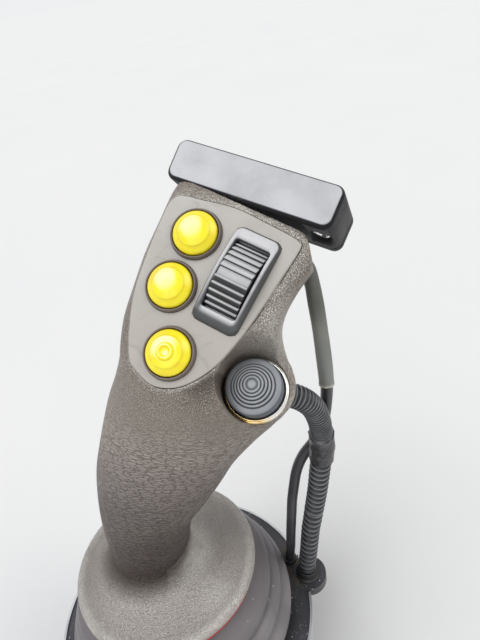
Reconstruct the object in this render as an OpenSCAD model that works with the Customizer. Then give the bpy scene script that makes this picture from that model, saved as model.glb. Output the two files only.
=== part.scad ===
/* [Mounting plate] */
// Radius of the round mounting plate
plate_r = 67; // [66:0.5:75]
// Thickness of the mounting plate
plate_t = 6; // [4:0.5:8]
// Radius of the opening that the lever passes through
plate_open_r = 41; // [38:0.5:43]
// Width of the bright metal trim around the plate
trim_w = 1.2; // [0.8:0.1:2]
// How far the trim stands above the plate
trim_lip = 0.8; // [0.2:0.1:1.5]
// How far the circle of panel studs lies inside the plate's rim
stud_inset = 9; // [8:0.5:11]
// Radius of a panel stud
stud_r = 2.5; // [2:0.25:3]
// Length of a panel stud below the plate
stud_len = 16; // [10:1:24]
// Radius of a stud's head
stud_head_r = 4; // [3.5:0.25:4.5]
// Depth of a stud's head in the plate's underside
stud_head_t = 1.5; // [1:0.25:2.5]
// Gap in the plate around a stud's head
stud_relief = 0.5; // [0.3:0.1:1]
// Number of panel studs
stud_count = 4; // [4:1:6]
// Depth of the seat for the gimbal housing in the plate's underside
seat_depth = 1; // [0.5:0.25:2]
// Gap around the housing in its seat
seat_gap = 0.3; // [0.1:0.1:0.5]

/* [Cable entry] */
// Direction of the conduit gland, turned from rightward to forward
gland_angle = 19; // [15:0.5:23]
// How far the middle of the gland lies outside the plate's rim
gland_out = 2.5; // [1:0.1:3]
// Radius of the gland body in its hole
gland_r = 6.4; // [6:0.1:7]
// Width of the gland's flange on the plate
gland_flange = 1.2; // [0.8:0.1:1.6]
// Height of the gland above the plate
gland_h = 5; // [3:0.5:8]
// Metal left around the gland hole
ear_rim = 3.6; // [2.5:0.1:5]
// Direction of the lead grommet, turned from rightward to forward
grommet_angle = 28.4; // [27.5:0.1:30]
// How far the middle of the grommet lies inside the plate's rim
grommet_in = 3.9; // [3.8:0.1:4.2]
// Radius of the grommet body in its hole
grommet_r = 3.3; // [3:0.1:3.5]
// Width of the grommet's lip on the plate
grommet_lip = 0.5; // [0.3:0.1:0.6]
// Height of the grommet above the plate
grommet_h = 2.5; // [1.5:0.5:4]

/* [Gimbal] */
// Depth of the lever pivot below the panel face
pivot_depth = 12; // [11:0.5:16]
// Outer radius of the gimbal housing
housing_r = 48; // [47:0.5:50]
// Wall of the gimbal housing
housing_wall = 3; // [2:0.5:4]
// Depth of the gimbal housing below the panel face
housing_depth = 52; // [48:1:60]
// Thickness of the cover under the housing
cover_t = 4; // [3:0.5:6]
// Radius of a cover screw's head
screw_r = 3; // [2.5:0.25:4]
// Height of a cover screw's head
screw_h = 2; // [1.5:0.25:3]
// Width of the hexagon socket in a screw head
socket_w = 3; // [2:0.5:4]
// How far the cover screws lie inside the housing's wall
screw_inset = 6; // [5:0.5:8]
// Outer radius of the cardan ring
ring_r = 30; // [29:0.5:31]
// Radial width of the cardan ring
ring_w = 9; // [7:0.5:10]
// Height of the cardan ring
ring_h = 15; // [13:0.5:16]
// Radius of the gimbal pins
pin_r = 4; // [3:0.25:4.5]
// Running clearance of a pin in its bore
pin_clear = 0.05; // [0.02:0.01:0.1]
// Length of a gimbal pin in its bearing
pin_len = 9; // [7:0.5:10]
// Gap between two faces that turn past each other
face_gap = 1; // [0.5:0.1:1.5]
// Radius of the lever hub
hub_r = 14; // [12:0.5:15]

/* [Lever shaft and palm rest] */
// Radius of the lever shaft
shaft_r = 9; // [7:0.5:10]
// How far the shaft reaches up into the grip
shaft_in_grip = 28; // [20:1:40]
// Radius of the palm rest
palm_r = 45; // [42:0.5:50]
// Height of the palm rest's rim above the panel face
palm_rim_z = 57.5; // [56:0.5:60]
// Thickness of the palm rest's rounded rim
palm_rim_t = 6; // [5:0.5:8]
// Depth of the dish between the rim and the grip
palm_dish = 2; // [1:0.25:3]
// Radius of the flat seat under the grip
palm_seat_r = 37.2; // [37:0.1:38]
// Radius of the collar that holds the top of the bellows
palm_collar_r = 36; // [34:0.5:38]
// Height of that collar
palm_collar_h = 8; // [5:0.5:10]
// Thickness of the red seal under the rim
seal_t = 1.2; // [0.8:0.1:2]
// How far the seal stays inside the rim
seal_inset = 1.2; // [0.5:0.1:3]

/* [Bellows] */
// How far the widest fold lies inside the plate's rim
bellows_inset = 9; // [8:0.5:11]
// How much each fold is narrower than the one below
bellows_step = 4.2; // [3:0.1:5]
// Height of the bellows' foot below the first fold
bellows_rise = 4; // [3:0.1:5]
// Number of folds
fold_count = 3; // [2:1:3]
// Height of one fold
fold_h = 10.4; // [9:0.1:10.6]
// Depth of the groove between two folds
fold_groove = 3.4; // [2:0.1:5]
// Wall of the bellows
bellows_wall = 2; // [1.5:0.1:3]
// Height of the clamp ring on the plate
clamp_h = 3.5; // [2.5:0.5:5]
// Radial width of the clamp ring
clamp_w = 6; // [4:0.5:8]
// How far the clamp ring's opening lies inside the widest fold
clamp_inset = 12; // [11:0.5:13]

/* [Face of the head] */
// Tilt of the head's face back from level
face_tilt = 44.2; // [42:0.1:47]
// Turn of the head's face towards the right
face_turn = 30.6; // [29:0.1:32]
// Thickness of the face plate
face_t = 2; // [1.5:0.1:2.5]
// Width of the seam around the face plate
seam = 0.25; // [0.1:0.05:0.5]
// Radius of a button cap
cap_r = 7.8; // [7:0.1:8]
// Gap around a button cap in its collar
cap_gap = 0.25; // [0.2:0.05:0.4]
// Wall of a button collar
collar_wall = 1; // [0.7:0.1:1.2]
// Height of a button collar above the face
collar_h = 2; // [1:0.1:3]
// Depth of a button collar below the face
collar_depth = 8; // [7:0.5:10]
// Height of a button dome above the face
dome_h = 5.2; // [4.5:0.1:6]
// Travel of a button
button_travel = 1.5; // [1:0.1:2]
// Radius of the raised ring on the lowest button
bump_r = 2.6; // [2:0.1:3.2]
// Radial width of that ring
bump_w = 1.2; // [0.8:0.1:1.4]
// Height of that ring above the dome
bump_h = 0.7; // [0.4:0.1:1]

/* [Thumb roller] */
// Width of the roller window
window_w = 12.7; // [11:0.1:13]
// Length of the roller window
window_l = 24.9; // [22:0.1:26]
// Width of the bezel
bezel_w = 17.5; // [17:0.1:19]
// Length of the bezel
bezel_l = 35; // [33:0.5:37]
// Height of the bezel above the face
bezel_h = 3.6; // [3:0.1:4.5]
// How much lower the bezel's ends lie than its middle
bezel_arch = 2.4; // [0.5:0.1:2.6]
// Radius of the bezel's corners
bezel_corner = 3; // [2:0.25:4]
// How far the bezel's skirt leans inwards
bezel_lean = 0.9; // [0.5:0.1:1.5]
// Radius of the roller drum
drum_r = 15.5; // [14:0.25:16]
// How far the drum stands above the bezel
drum_rise = 1.3; // [0.8:0.1:2]
// Gap on each side of the drum
drum_gap = 0.35; // [0.2:0.05:0.5]
// Height of a ridge on the drum
ridge_h = 0.9; // [0.5:0.1:1.2]
// Angle between two ridges around the drum
ridge_pitch = 8.8; // [8:0.1:10]
// Angle of the smooth band between the two groups of ridges
ridge_band = 11; // [8:0.5:14]
// Number of ridges in each of the two groups
ridge_count = 6; // [4:1:7]
// Radius of the drum's axle
axle_r = 1.6; // [1.2:0.1:2]
// Thickness of a cheek that carries the axle
cheek_t = 1.7; // [1.4:0.1:1.9]

/* [Side knob] */
// How much flatter the knob lies than the face
knob_tilt = 9.5; // [6:0.5:12]
// Radius of the rubber knob
knob_r = 10.1; // [9:0.1:10.5]
// Height of the knob above its ring
knob_h = 9.5; // [8:0.5:10.5]
// Number of steps up to the middle of the knob
knob_steps = 6; // [4:1:8]
// Width of the flat rim around those steps
knob_flat = 2.6; // [2:0.1:3.5]
// Height of those steps together
knob_rise = 3.2; // [2.5:0.1:4]
// Radial width of the metal ring around the knob
knob_ring_w = 1.8; // [1.2:0.1:2]
// Depth of the knob's seat in the boss
knob_seat = 6; // [5:0.5:8]
// Travel of the knob
knob_travel = 1.5; // [1:0.1:2]
// How much wider the boss is than the metal ring
boss_wall = 0.45; // [0.3:0.05:1]

/* [Switch box] */
// Length of the box across the head
box_w = 64; // [60:1:66]
// Height of the box along the head
box_h = 15.4; // [14:0.2:18]
// Depth of the box from front to back
box_d = 29.5; // [26:0.5:32]
// Radius of the box's corners
box_round = 3.5; // [2:0.25:5]
// Depth of the cover at the back of the box
box_cover_d = 5; // [3:0.5:8]
// Bevel around the front and the back of the box
box_bevel = 1.2; // [0.6:0.1:2]
// Radius of the head of the screw in the box's lower wall
box_screw_r = 3.3; // [2.5:0.1:3.5]
// Depth of the recess for that screw
box_recess = 1.6; // [1:0.1:2.5]

/* [Cords] */
// Radius of the corrugated conduit
conduit_r = 4.75; // [4:0.05:5]
// Radius of the tape around the conduit
tape_r = 5.6; // [5.2:0.1:6.5]
// Radius of the shrink sleeve on the switch lead
sleeve_r = 3.2; // [2.8:0.1:3.6]
// Radius of the switch lead
lead_r = 2.5; // [2:0.1:2.7]

/* [Hidden] */
$fn = 72;
cord_sides = 10;
rim_fn = 24;

// Frame of the head's flat face: U runs across it to the right, V up it, N out of it.
face_o = [59.3, 8.1, 205.3];
face_u = [cos(face_turn), -sin(face_turn) * cos(face_tilt), -sin(face_turn) * sin(face_tilt)];
face_v = [sin(face_turn), cos(face_turn) * cos(face_tilt), cos(face_turn) * sin(face_tilt)];
face_n = [0, -sin(face_tilt), cos(face_tilt)];

// Middle of the knob's outer face: across the head's face, up it and behind it.
knob_at = [18.5, -27.4, -9.9];

// Middle of the switch box's front: across the face, up it and out of it, and the box's turn.
box_at = [-12.4, 32.5, 1];
box_turn = [5.3, -5.1, 3.6];

// Place of the screw in the box's lower wall: along the box, back from its front.
box_screw_at = [27, 10.7];

// Places of the boss's mouth and of its foot beside the knob's axis: across, up.
boss_mouth = [0.9, 2];
boss_foot = [-0.3, 1];

// Balls that blend the boss into the grip, in the knob's own frame: middle and radius.
boss_balls = [[-9.1, 13.5, -16, 11], [-13.5, -20, -36, 14]];

// Places of the buttons on the face: across, up.
buttons = [[-20.5, 8.2], [-19.3, -11.4], [-8.4, -31.3]];

// Corners of the face plate: across, up.
face_outline = [
    [-34.2, 17.1], [-23.8, 20.1], [-12.1, 22.1], [-1.2, 21.8], [8, 21.3], [12.1, 20.6],
    [13.7, 18.5], [12.5, 5], [11.3, -8.4], [9.6, -19], [6.9, -28.7], [2.6, -36.3],
    [-2.5, -41], [-9.2, -43.1], [-16.9, -41.1], [-20.6, -38.5], [-24.9, -31.3],
    [-29.6, -20.9], [-32.4, -9.2], [-34.6, 6.2]
];

pivot_z = -pivot_depth;
ring_in = ring_r - ring_w;
housing_in = housing_r - housing_wall;
bearing_x = ring_r + face_gap;
seat_z = palm_rim_z - palm_dish;
palm_under_z = palm_rim_z - palm_rim_t;
bellows_top_z = palm_under_z - seal_t;
bellows_r = plate_r - bellows_inset;
bellows_foot_z = plate_t + clamp_h;
clamp_in = bellows_r - clamp_inset;
stud_circle_r = plate_r - stud_inset;
gland_x = (plate_r + gland_out) * cos(gland_angle);
gland_y = (plate_r + gland_out) * sin(gland_angle);
grommet_x = (plate_r - grommet_in) * cos(grommet_angle);
grommet_y = (plate_r - grommet_in) * sin(grommet_angle);
collar_r = cap_r + cap_gap + collar_wall;
arch_r = (pow(bezel_l / 2, 2) + pow(bezel_arch, 2)) / (2 * bezel_arch);
drum_n = bezel_h + drum_rise - drum_r;
cheek_in = window_w / 2 + 0.25;
pocket_w = 2 * (cheek_in + cheek_t);
pocket_depth = drum_r - drum_n + 0.8;
drum_w = window_w - 2 * drum_gap;
// A ridge from its steep face (across 0) down its gentle slope, as radius and place across.
ridge_foot = drum_r - 0.5;
saw_tooth = [[ridge_foot, 0], [drum_r + ridge_h - 0.15, 0.2], [drum_r + ridge_h, 0.45],
    [ridge_foot, 0.92 * drum_r * sin(ridge_pitch)]];

// Sections of the grip, from the palm rest to the top of the head.
// Columns: front x, y, z, back x, y, z, half width, squareness, widening to the front,
// turn of the section from square-on (0) to the head's own direction (1).
grip_sections = [
    [-7.2, -26.2, 55.5, -7.2, 32.6, 55.5, 29.8, 2, 0, 0],
    [-7.2, -25, 56.8, -7.2, 31.4, 56.8, 28.6, 2, 0, 0],
    [-7.2, -22.6, 57.7, -7.2, 29.1, 57.7, 26.2, 2, 0, 0],
    [-7.2, -19.6, 58.1, -7.2, 26.7, 58.1, 23, 2, 0, 0],
    [-7.1, -17.9, 58.8, -7.1, 25.2, 58.8, 21.3, 2, 0, 0],
    [-6.9, -16.7, 60.2, -6.9, 24.3, 60.2, 20.1, 2, 0, 0],
    [-6.4, -15.8, 63, -6.4, 23.6, 63, 19.3, 2, 0, 0],
    [-5.6, -15.2, 68, -5.6, 23.5, 67, 19.2, 2.1, 0, 0],
    [-4.1, -15, 80, -3.6, 23.8, 78, 20.6, 2.2, 0, 0.1],
    [-1, -15, 93, -0.8, 24.4, 90, 22.4, 2.2, 0, 0.2],
    [3.9, -15, 106, 4.4, 25.2, 101, 25.3, 2.2, 0, 0.3],
    [9.4, -15, 120, 10.4, 26.4, 112, 27.7, 2.2, 0, 0.4],
    [15.1, -15.3, 134, 18.1, 27.8, 123, 28.6, 2.3, 0, 0.5],
    [20.2, -16, 147, 25.2, 29.2, 132.5, 28.9, 2.4, 0, 0.65],
    [25.1, -16.8, 159, 31.6, 30.6, 141, 28.6, 2.5, 0.02, 0.8],
    [30, -17.2, 170, 38, 32, 148.5, 27.6, 2.6, 0.04, 0.9],
    [33.5, -17, 179, 42.5, 33.2, 154.8, 26.6, 2.8, 0.06, 1]
];
// Sections of the head. Columns: up the face, middle across, half width, depth, pitch of the
// section above the face's normal in degrees, squareness, widening to the front.
head_sections = [
    [-40, -4, 26.4, 51, 22, 3.2, 0.08],
    [-30, -5.4, 27.8, 46, 16, 3.5, 0.1],
    [-18, -7.3, 27.7, 41, 11, 3.8, 0.1],
    [-5, -10, 26.6, 36, 6, 4.2, 0.1],
    [8, -10.2, 27, 32, 2, 4.5, 0.1],
    [19, -9.3, 27.9, 29, 0, 5.5, 0.1],
    [24.5, -9.1, 27.3, 27, 0, 5.5, 0.1]
];
section_points = 48;

// Directions of the faces where two lengths of cord meet.
down = [0, 0, -1];
lead_bend_dir = unit([-6, -0.6, -8]);

// Routes of the cords, from the grip down to the plate. The tape joins two lengths of conduit.
tape_top = [81.4, 13.5, 127];
tape_foot = [80.3, 15.4, 110];
conduit_seam = [74.1, 19.3, 69];
lead_joint = [85.2, 20, 148];
lead_bend = [76.2, 24, 109];
lead_seam = [62.3, 22.2, 62];
conduit_upper_route = [[60, 3, 158], [66, 3.5, 158.5], [71, 4.5, 157.5], [76, 6, 153.5],
    [79.5, 8.5, 146.5], [81.2, 11.3, 136.5], tape_top];
tape_route = [tape_top, [81.3, 14.3, 121], [81, 14.9, 115.5], tape_foot];
conduit_mid_route = [tape_foot, [78.6, 16.7, 98], [76.8, 17.9, 85],
    conduit_seam];
conduit_lower_route = [conduit_seam, [72.6, 20, 60], [71, 20.6, 51], [69.4, 21.3, 39],
    [67.8, 22, 27], [66.4, 22.5, 18], [gland_x, gland_y, plate_t + gland_h]];
sleeve_route = [[75.4, 31.6, 197.5], [80.5, 35.8, 193.5], [82.4, 34.2, 187], [83.3, 30, 180],
    [84.2, 25, 171], [85, 21.5, 157], lead_joint];
lead_upper_route = [lead_joint, [84.5, 20.6, 140], [83, 22, 129], [80.2, 23.6, 117], lead_bend];
lead_mid_route = [lead_bend, [71.4, 23.2, 102], [67.8, 22.6, 93], [65.4, 22.2, 82],
    [63.6, 22.1, 72], lead_seam];
lead_lower_route = [lead_seam, [60.8, 22.8, 50], [59.5, 23.8, 39], [58.3, 25.6, 28],
    [56.9, 27.8, 18], [grommet_x, grommet_y, plate_t + grommet_h]];

function unit(v) = v / norm(v);
function mix(a, b, t) = a + (b - a) * t;
function on_face(u, v, n) = face_o + face_u * u + face_v * v + face_n * n;
function signed_pow(x, p) = (x < 0 ? -1 : 1) * pow(abs(x), p);

// One ring of points: middle, side vector, depth vector, squareness, widening to the front.
function section_ring(c, side, depth, p, widen) = [
    for (i = [0:section_points - 1])
        let (a = 360 * i / section_points,
             x = signed_pow(cos(a), 2 / p),
             y = signed_pow(sin(a), 2 / p))
        c + side * x * (1 - widen * y) + depth * y
];

function grip_ring(s) =
    let (front = [s[0], s[1], s[2]],
         back = [s[3], s[4], s[5]],
         side = unit(mix([1, 0, 0], face_u, s[9])) * s[6])
    section_ring((front + back) / 2, side, (back - front) / 2, s[7], s[8]);

function head_ring(s) =
    let (front = on_face(s[1], s[0], 0),
         back = (face_v * sin(s[4]) - face_n * cos(s[4])) * s[3])
    section_ring(front + back / 2, face_u * s[2], back / 2, s[5], s[6]);

// A closed solid through a list of rings with as many points each.
module loft(rings) {
    n = len(rings[0]);
    last = len(rings) - 1;
    sides = [
        for (k = [0:last - 1], i = [0:n - 1])
            let (a = k * n + i, b = k * n + (i + 1) % n)
            each [[a, a + n, b + n], [a, b + n, b]]
    ];
    bottom = [for (i = [0:n - 1]) i];
    top = [for (i = [n - 1:-1:0]) last * n + i];
    polyhedron(points = [for (r = rings) each r], faces = concat([bottom], sides, [top]));
}

// Rings of a tube of one radius along a smooth route through hand-placed points.
function spline(p, i, t) =
    let (a = p[max(i - 1, 0)], b = p[i], c = p[i + 1], d = p[min(i + 2, len(p) - 1)])
    0.5 * (2 * b + (c - a) * t + (2 * a - 5 * b + 4 * c - d) * t * t
        + (3 * b - a - 3 * c + d) * t * t * t);

function smooth_route(p, steps) = concat(
    [for (i = [0:len(p) - 2], k = [0:steps - 1]) spline(p, i, k / steps)],
    [p[len(p) - 1]]);

function tube_rings(path, r, first, final) =
    let (last = len(path) - 1)
    [
        for (i = [0:last])
            let (t = i == 0 && first != undef ? first
                     : i == last && final != undef ? final
                     : unit(path[min(i + 1, last)] - path[max(i - 1, 0)]),
                 side = unit(cross([0, 1, 0], t)),
                 other = cross(t, side))
            [for (k = [0:cord_sides - 1])
                path[i] + r * (side * cos(360 * k / cord_sides) + other * sin(360 * k / cord_sides))]
    ];

module cord(route, r, first, final) {
    loft(tube_rings(smooth_route(route, 2), r, first, final));
}

// Moves its children onto the head's face at a place across, up and out of it.
module at_face(u, v, n = 0) {
    translate(face_o) rotate([face_tilt, 0, 0]) rotate([0, 0, -face_turn]) translate([u, v, n])
        children();
}

module at_knob() {
    at_face(knob_at[0], knob_at[1], knob_at[2]) rotate([0, 0, face_turn]) rotate([-knob_tilt, 0, 0])
        rotate([0, 0, -face_turn]) children();
}

module at_box() {
    at_face(box_at[0], box_at[1], box_at[2]) rotate(box_turn) children();
}

module tube(r_out, r_in, z0, z1) {
    difference() {
        translate([0, 0, z0]) cylinder(r = r_out, h = z1 - z0);
        translate([0, 0, z0 - 1]) cylinder(r = r_in, h = z1 - z0 + 2);
    }
}

module mount_plate() {
    color("dimgray") difference() {
        union() {
            cylinder(r = plate_r, h = plate_t, $fn = 144);
            translate([gland_x, gland_y, 0]) cylinder(r = gland_r + ear_rim, h = plate_t);
        }
        translate([0, 0, -1]) cylinder(r = plate_open_r, h = plate_t + 2);
        translate([gland_x, gland_y, -1]) cylinder(r = gland_r, h = plate_t + 2);
        translate([grommet_x, grommet_y, -1]) cylinder(r = grommet_r, h = plate_t + 2);
        translate([0, 0, -1]) cylinder(r = housing_r + seat_gap, h = 1 + seat_depth);
        at_studs() translate([0, 0, -1]) cylinder(r = stud_head_r + stud_relief, h = 1 + stud_head_t);
    }
}

module edge_trim() {
    ear_a = atan2(gland_y, gland_x);
    half = atan((gland_r + ear_rim + trim_w) / plate_r);
    color("silver") rotate([0, 0, ear_a + half])
        rotate_extrude(angle = 360 - 2 * half, $fn = 144)
            translate([plate_r, 0]) square([trim_w, plate_t + trim_lip]);
}

module at_studs() {
    for (i = [0:stud_count - 1])
        rotate([0, 0, 360 * (i + 0.5) / stud_count]) translate([stud_circle_r, 0, 0]) children();
}

module panel_studs() {
    color("silver") at_studs() {
        translate([0, 0, -stud_len]) cylinder(r = stud_r, h = stud_len);
        cylinder(r = stud_head_r, h = stud_head_t);
    }
}

module gimbal_housing() {
    color("dimgray") difference() {
        union() {
            tube(housing_r, housing_in, -housing_depth, seat_depth);
            for (s = [-1, 1]) bearing_block(s);
        }
        translate([-bearing_x - pin_len - face_gap, 0, pivot_z]) rotate([0, 90, 0])
            cylinder(r = pin_r + pin_clear, h = 2 * (bearing_x + pin_len + face_gap));
    }
}

module bearing_block(s) {
    intersection() {
        translate([s > 0 ? bearing_x : -housing_r, -2 * pin_r, pivot_z - 2 * pin_r])
            cube([housing_r - bearing_x, 4 * pin_r, 4 * pin_r]);
        translate([0, 0, -housing_depth]) cylinder(r = housing_in + 0.5, h = housing_depth);
    }
}

module housing_cover() {
    color("dimgray") translate([0, 0, -housing_depth - cover_t])
        cylinder(r = housing_r, h = cover_t);
}

module cover_screws() {
    color("silver") for (i = [0:3]) rotate([0, 0, 90 * i + 45])
        translate([housing_r - screw_inset, 0, -housing_depth - cover_t - screw_h]) difference() {
            cylinder(r = screw_r, h = screw_h, $fn = 32);
            translate([0, 0, -1]) cylinder(d = socket_w, h = screw_h / 2 + 1, $fn = 6);
        }
}

module bellows_clamp() {
    color("black") tube(clamp_in + clamp_w, clamp_in, plate_t, bellows_foot_z);
}

module conduit_gland() {
    color("black") translate([gland_x, gland_y, 0]) {
        cylinder(r = gland_r, h = plate_t);
        translate([0, 0, plate_t]) cylinder(r = gland_r + gland_flange, h = gland_h);
    }
}

module lead_grommet() {
    color("black") translate([grommet_x, grommet_y, 0]) {
        cylinder(r = grommet_r, h = plate_t);
        translate([0, 0, plate_t]) cylinder(r = grommet_r + grommet_lip, h = grommet_h);
    }
}

module cardan_ring() {
    color("silver") translate([0, 0, pivot_z]) difference() {
        union() {
            tube(ring_r, ring_in, -ring_h / 2, ring_h / 2);
            for (s = [-1, 1]) translate([s * (ring_r - 2), 0, 0]) rotate([0, s * 90, 0])
                cylinder(r = pin_r, h = face_gap + pin_len + 2);
        }
        rotate([90, 0, 0]) cylinder(r = pin_r + pin_clear, h = 3 * ring_r, center = true);
    }
}

module lever_shaft() {
    top = seat_z + shaft_in_grip;
    color("silver") {
        translate([0, 0, pivot_z]) {
            translate([0, 0, -hub_r / 2]) cylinder(r = hub_r, h = hub_r);
            rotate([90, 0, 0]) cylinder(r = pin_r, h = 2 * ring_r - 1, center = true);
        }
        translate([0, 0, pivot_z]) cylinder(r = shaft_r, h = top - pivot_z);
    }
}

module palm_rest() {
    rim = palm_rim_t / 2;
    color("#8d857b") rotate_extrude($fn = 144) difference() {
        union() {
            translate([palm_r - rim, palm_rim_z - rim]) circle(r = rim, $fn = rim_fn);
            polygon([[shaft_r, palm_under_z], [palm_r - rim, palm_under_z],
                [palm_r - rim, palm_rim_z], [palm_seat_r + 2.6, seat_z + 0.5],
                [palm_seat_r, seat_z], [shaft_r, seat_z]]);
            translate([shaft_r, palm_under_z - palm_collar_h])
                square([palm_collar_r - shaft_r, palm_collar_h]);
        }
    }
}

module palm_seal() {
    color("red") tube(palm_r - palm_rim_t / 2 - seal_inset, palm_collar_r, bellows_top_z, palm_under_z);
}

// Folds of the bellows. Each has a round crest and a groove above it.
function fold_points(k) =
    let (r = bellows_r - bellows_step * k, z = bellows_foot_z + bellows_rise + fold_h * k)
    [[r - 1.6, z], [r, z + 2], [r, z + fold_h * 0.55], [r - 1.4, z + fold_h * 0.78],
     [r - fold_groove, z + fold_h * 0.9]];

function bellows_outer() = concat(
    [[clamp_in + bellows_wall + 2, bellows_foot_z]],
    [for (k = [0:fold_count - 1]) each fold_points(k)],
    [[palm_collar_r + bellows_wall, bellows_top_z]]);

module bellows_shell() {
    outer = bellows_outer();
    rotate_extrude($fn = 96) polygon(concat(outer,
        [for (i = [len(outer) - 1:-1:0]) outer[i] - [bellows_wall, 0]]));
}

function bellows_seam_z() = bellows_foot_z + bellows_rise + 2 * fold_h - 0.05 * fold_h;

module bellows_lower() {
    color("#5d5650") intersection() {
        bellows_shell();
        cylinder(r = plate_r, h = bellows_seam_z());
    }
}

module bellows_upper() {
    color("#5d5650") intersection() {
        bellows_shell();
        translate([0, 0, bellows_seam_z()]) cylinder(r = plate_r, h = palm_rim_z);
    }
}

// The boss around the knob: one blend back into the head and one down the grip's flank.
module knob_boss() {
    boss_r = knob_r + knob_ring_w + boss_wall;
    at_knob() for (ball = boss_balls) hull() {
        translate([boss_mouth[0], boss_mouth[1], -knob_h - 2]) cylinder(r = boss_r, h = 2, $fn = 32);
        translate([boss_foot[0], boss_foot[1], -knob_h - knob_seat]) cylinder(r = boss_r, h = 2, $fn = 32);
        translate([ball[0], ball[1], ball[2]]) sphere(r = ball[3], $fn = 24);
    }
}

module grip_body() {
    color("#8d857b") difference() {
        union() {
            loft(concat([for (s = grip_sections) grip_ring(s)], [for (s = head_sections) head_ring(s)]));
            knob_boss();
        }
        translate([0, 0, seat_z - 1]) cylinder(r = shaft_r, h = shaft_in_grip + 1);
        at_face(0, 0, -face_t) linear_extrude(20) polygon(face_outline);
        for (b = buttons) at_face(b[0], b[1], -collar_depth - 1) cylinder(r = collar_r, h = 20);
        at_face(0, 0, -pocket_depth) translate([-pocket_w / 2, -bezel_l / 2 + 0.8, 0])
            cube([pocket_w, bezel_l - 1.6, pocket_depth + 5]);
        at_knob() translate([0, 0, -knob_h - knob_seat]) cylinder(r = knob_r + knob_ring_w, h = 30);
        at_box() translate([0, 0, -box_d - 0.1]) linear_extrude(box_d + 5)
            square([box_w + 0.2, box_h + 0.2], center = true);
    }
}

module face_plate() {
    color("#a8a199") at_face(0, 0, -face_t) difference() {
        linear_extrude(face_t) offset(delta = -seam) polygon(face_outline);
        for (b = buttons) translate([b[0], b[1], -1]) cylinder(r = collar_r, h = face_t + 2);
        translate([-pocket_w / 2, -bezel_l / 2 + 0.8, -1]) cube([pocket_w, bezel_l - 1.6, face_t + 2]);
    }
}

module button_collar(b) {
    color("#6a6165") at_face(b[0], b[1]) {
        tube(collar_r, cap_r + cap_gap, -collar_depth, collar_h);
        translate([0, 0, -collar_depth - 1]) cylinder(r = collar_r, h = 1);
    }
}

module button_collar_1() { button_collar(buttons[0]); }
module button_collar_2() { button_collar(buttons[1]); }
module button_collar_3() { button_collar(buttons[2]); }

// A cap with a domed top that reaches the height asked for.
module button_cap(b) {
    rise = dome_h - collar_h;
    dome_r = (cap_r * cap_r + rise * rise) / (2 * rise);
    color("gold") at_face(b[0], b[1]) intersection() {
        translate([0, 0, -collar_depth + button_travel + 0.6])
            cylinder(r = cap_r, h = collar_depth + dome_h);
        translate([0, 0, dome_h - dome_r]) sphere(r = dome_r, $fn = 96);
    }
}

module button_cap_1() { button_cap(buttons[0]); }
module button_cap_2() { button_cap(buttons[1]); }

module button_cap_3() {
    button_cap(buttons[2]);
    color("gold") at_face(buttons[2][0], buttons[2][1])
        tube(bump_r, bump_r - bump_w, dome_h - bump_h, dome_h + bump_h);
}

module rounded_box(w, l, r) {
    square([w - 2 * r, l], center = true);
    square([w, l - 2 * r], center = true);
    for (x = [-1, 1], y = [-1, 1]) translate([x * (w / 2 - r), y * (l / 2 - r)]) circle(r = r, $fn = 32);
}

// A rounded box whose rim, from the given height up, leans inwards.
module leaning_box(w, l, r, h, straight, lean) {
    hull() {
        linear_extrude(straight) rounded_box(w, l, r);
        translate([0, 0, h - 0.1]) linear_extrude(0.1) rounded_box(w - 2 * lean, l - 2 * lean, r);
    }
}

module roller_bezel() {
    color("#6f7a84") at_face(0, 0) {
        difference() {
            intersection() {
                leaning_box(bezel_w, bezel_l, bezel_corner, bezel_h, bezel_h / 4, bezel_lean);
                translate([0, 0, bezel_h - arch_r]) rotate([0, 90, 0])
                    cylinder(r = arch_r, h = bezel_w, center = true, $fn = 192);
            }
            translate([-window_w / 2, -window_l / 2, -1]) cube([window_w, window_l, bezel_h + 2]);
            translate([0, 0, drum_n]) rotate([0, 90, 0])
                cylinder(r = drum_r + ridge_h + 0.3, h = window_w, center = true);
        }
        for (s = [-1, 1]) difference() {
            translate([s * (cheek_in + cheek_t / 2) - cheek_t / 2, -7, drum_n - 4])
                cube([cheek_t, 14, -drum_n + 4]);
            translate([0, 0, drum_n]) rotate([0, 90, 0])
                cylinder(r = axle_r + pin_clear, h = bezel_w, center = true);
        }
    }
}

module thumb_roller() {
    color("#3c4046") at_face(0, 0, drum_n) rotate([0, 90, 0]) {
        linear_extrude(drum_w, center = true) {
            circle(r = drum_r);
            for (s = [0, 1], i = [0:ridge_count - 1])
                mirror([0, s, 0]) rotate([0, 0, 180 + ridge_band / 2 + ridge_pitch * i]) polygon(saw_tooth);
        }
        cylinder(r = axle_r, h = 2 * (cheek_in + cheek_t - 0.3), center = true);
    }
}

module knob_ring() {
    color("silver") at_knob() tube(knob_r + knob_ring_w, knob_r + 0.3, -knob_h - knob_seat, -knob_h + 1);
}

function knob_step_z(i) = knob_rise * (i / knob_steps - 1);

module knob_cap() {
    color("#26282c") at_knob() rotate_extrude($fn = 96) polygon(concat(
        [[0, -knob_h - knob_seat + knob_travel + 0.5], [knob_r, -knob_h - knob_seat + knob_travel + 0.5],
         [knob_r, -knob_rise]],
        [for (i = [0:knob_steps - 1])
            let (r = knob_r - knob_flat - (knob_r - knob_flat - 1) * i / knob_steps)
            each [[r + 0.4, knob_step_z(i)], [r, knob_step_z(i + 1)]]],
        [[0, 0]]));
}

// The recess in the box's lower wall, or what fills it, from one depth below the wall to another.
module at_box_screw(from) {
    translate([box_screw_at[0], from - box_h / 2, -box_screw_at[1]]) rotate([90, 0, 0]) children();
}

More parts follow.
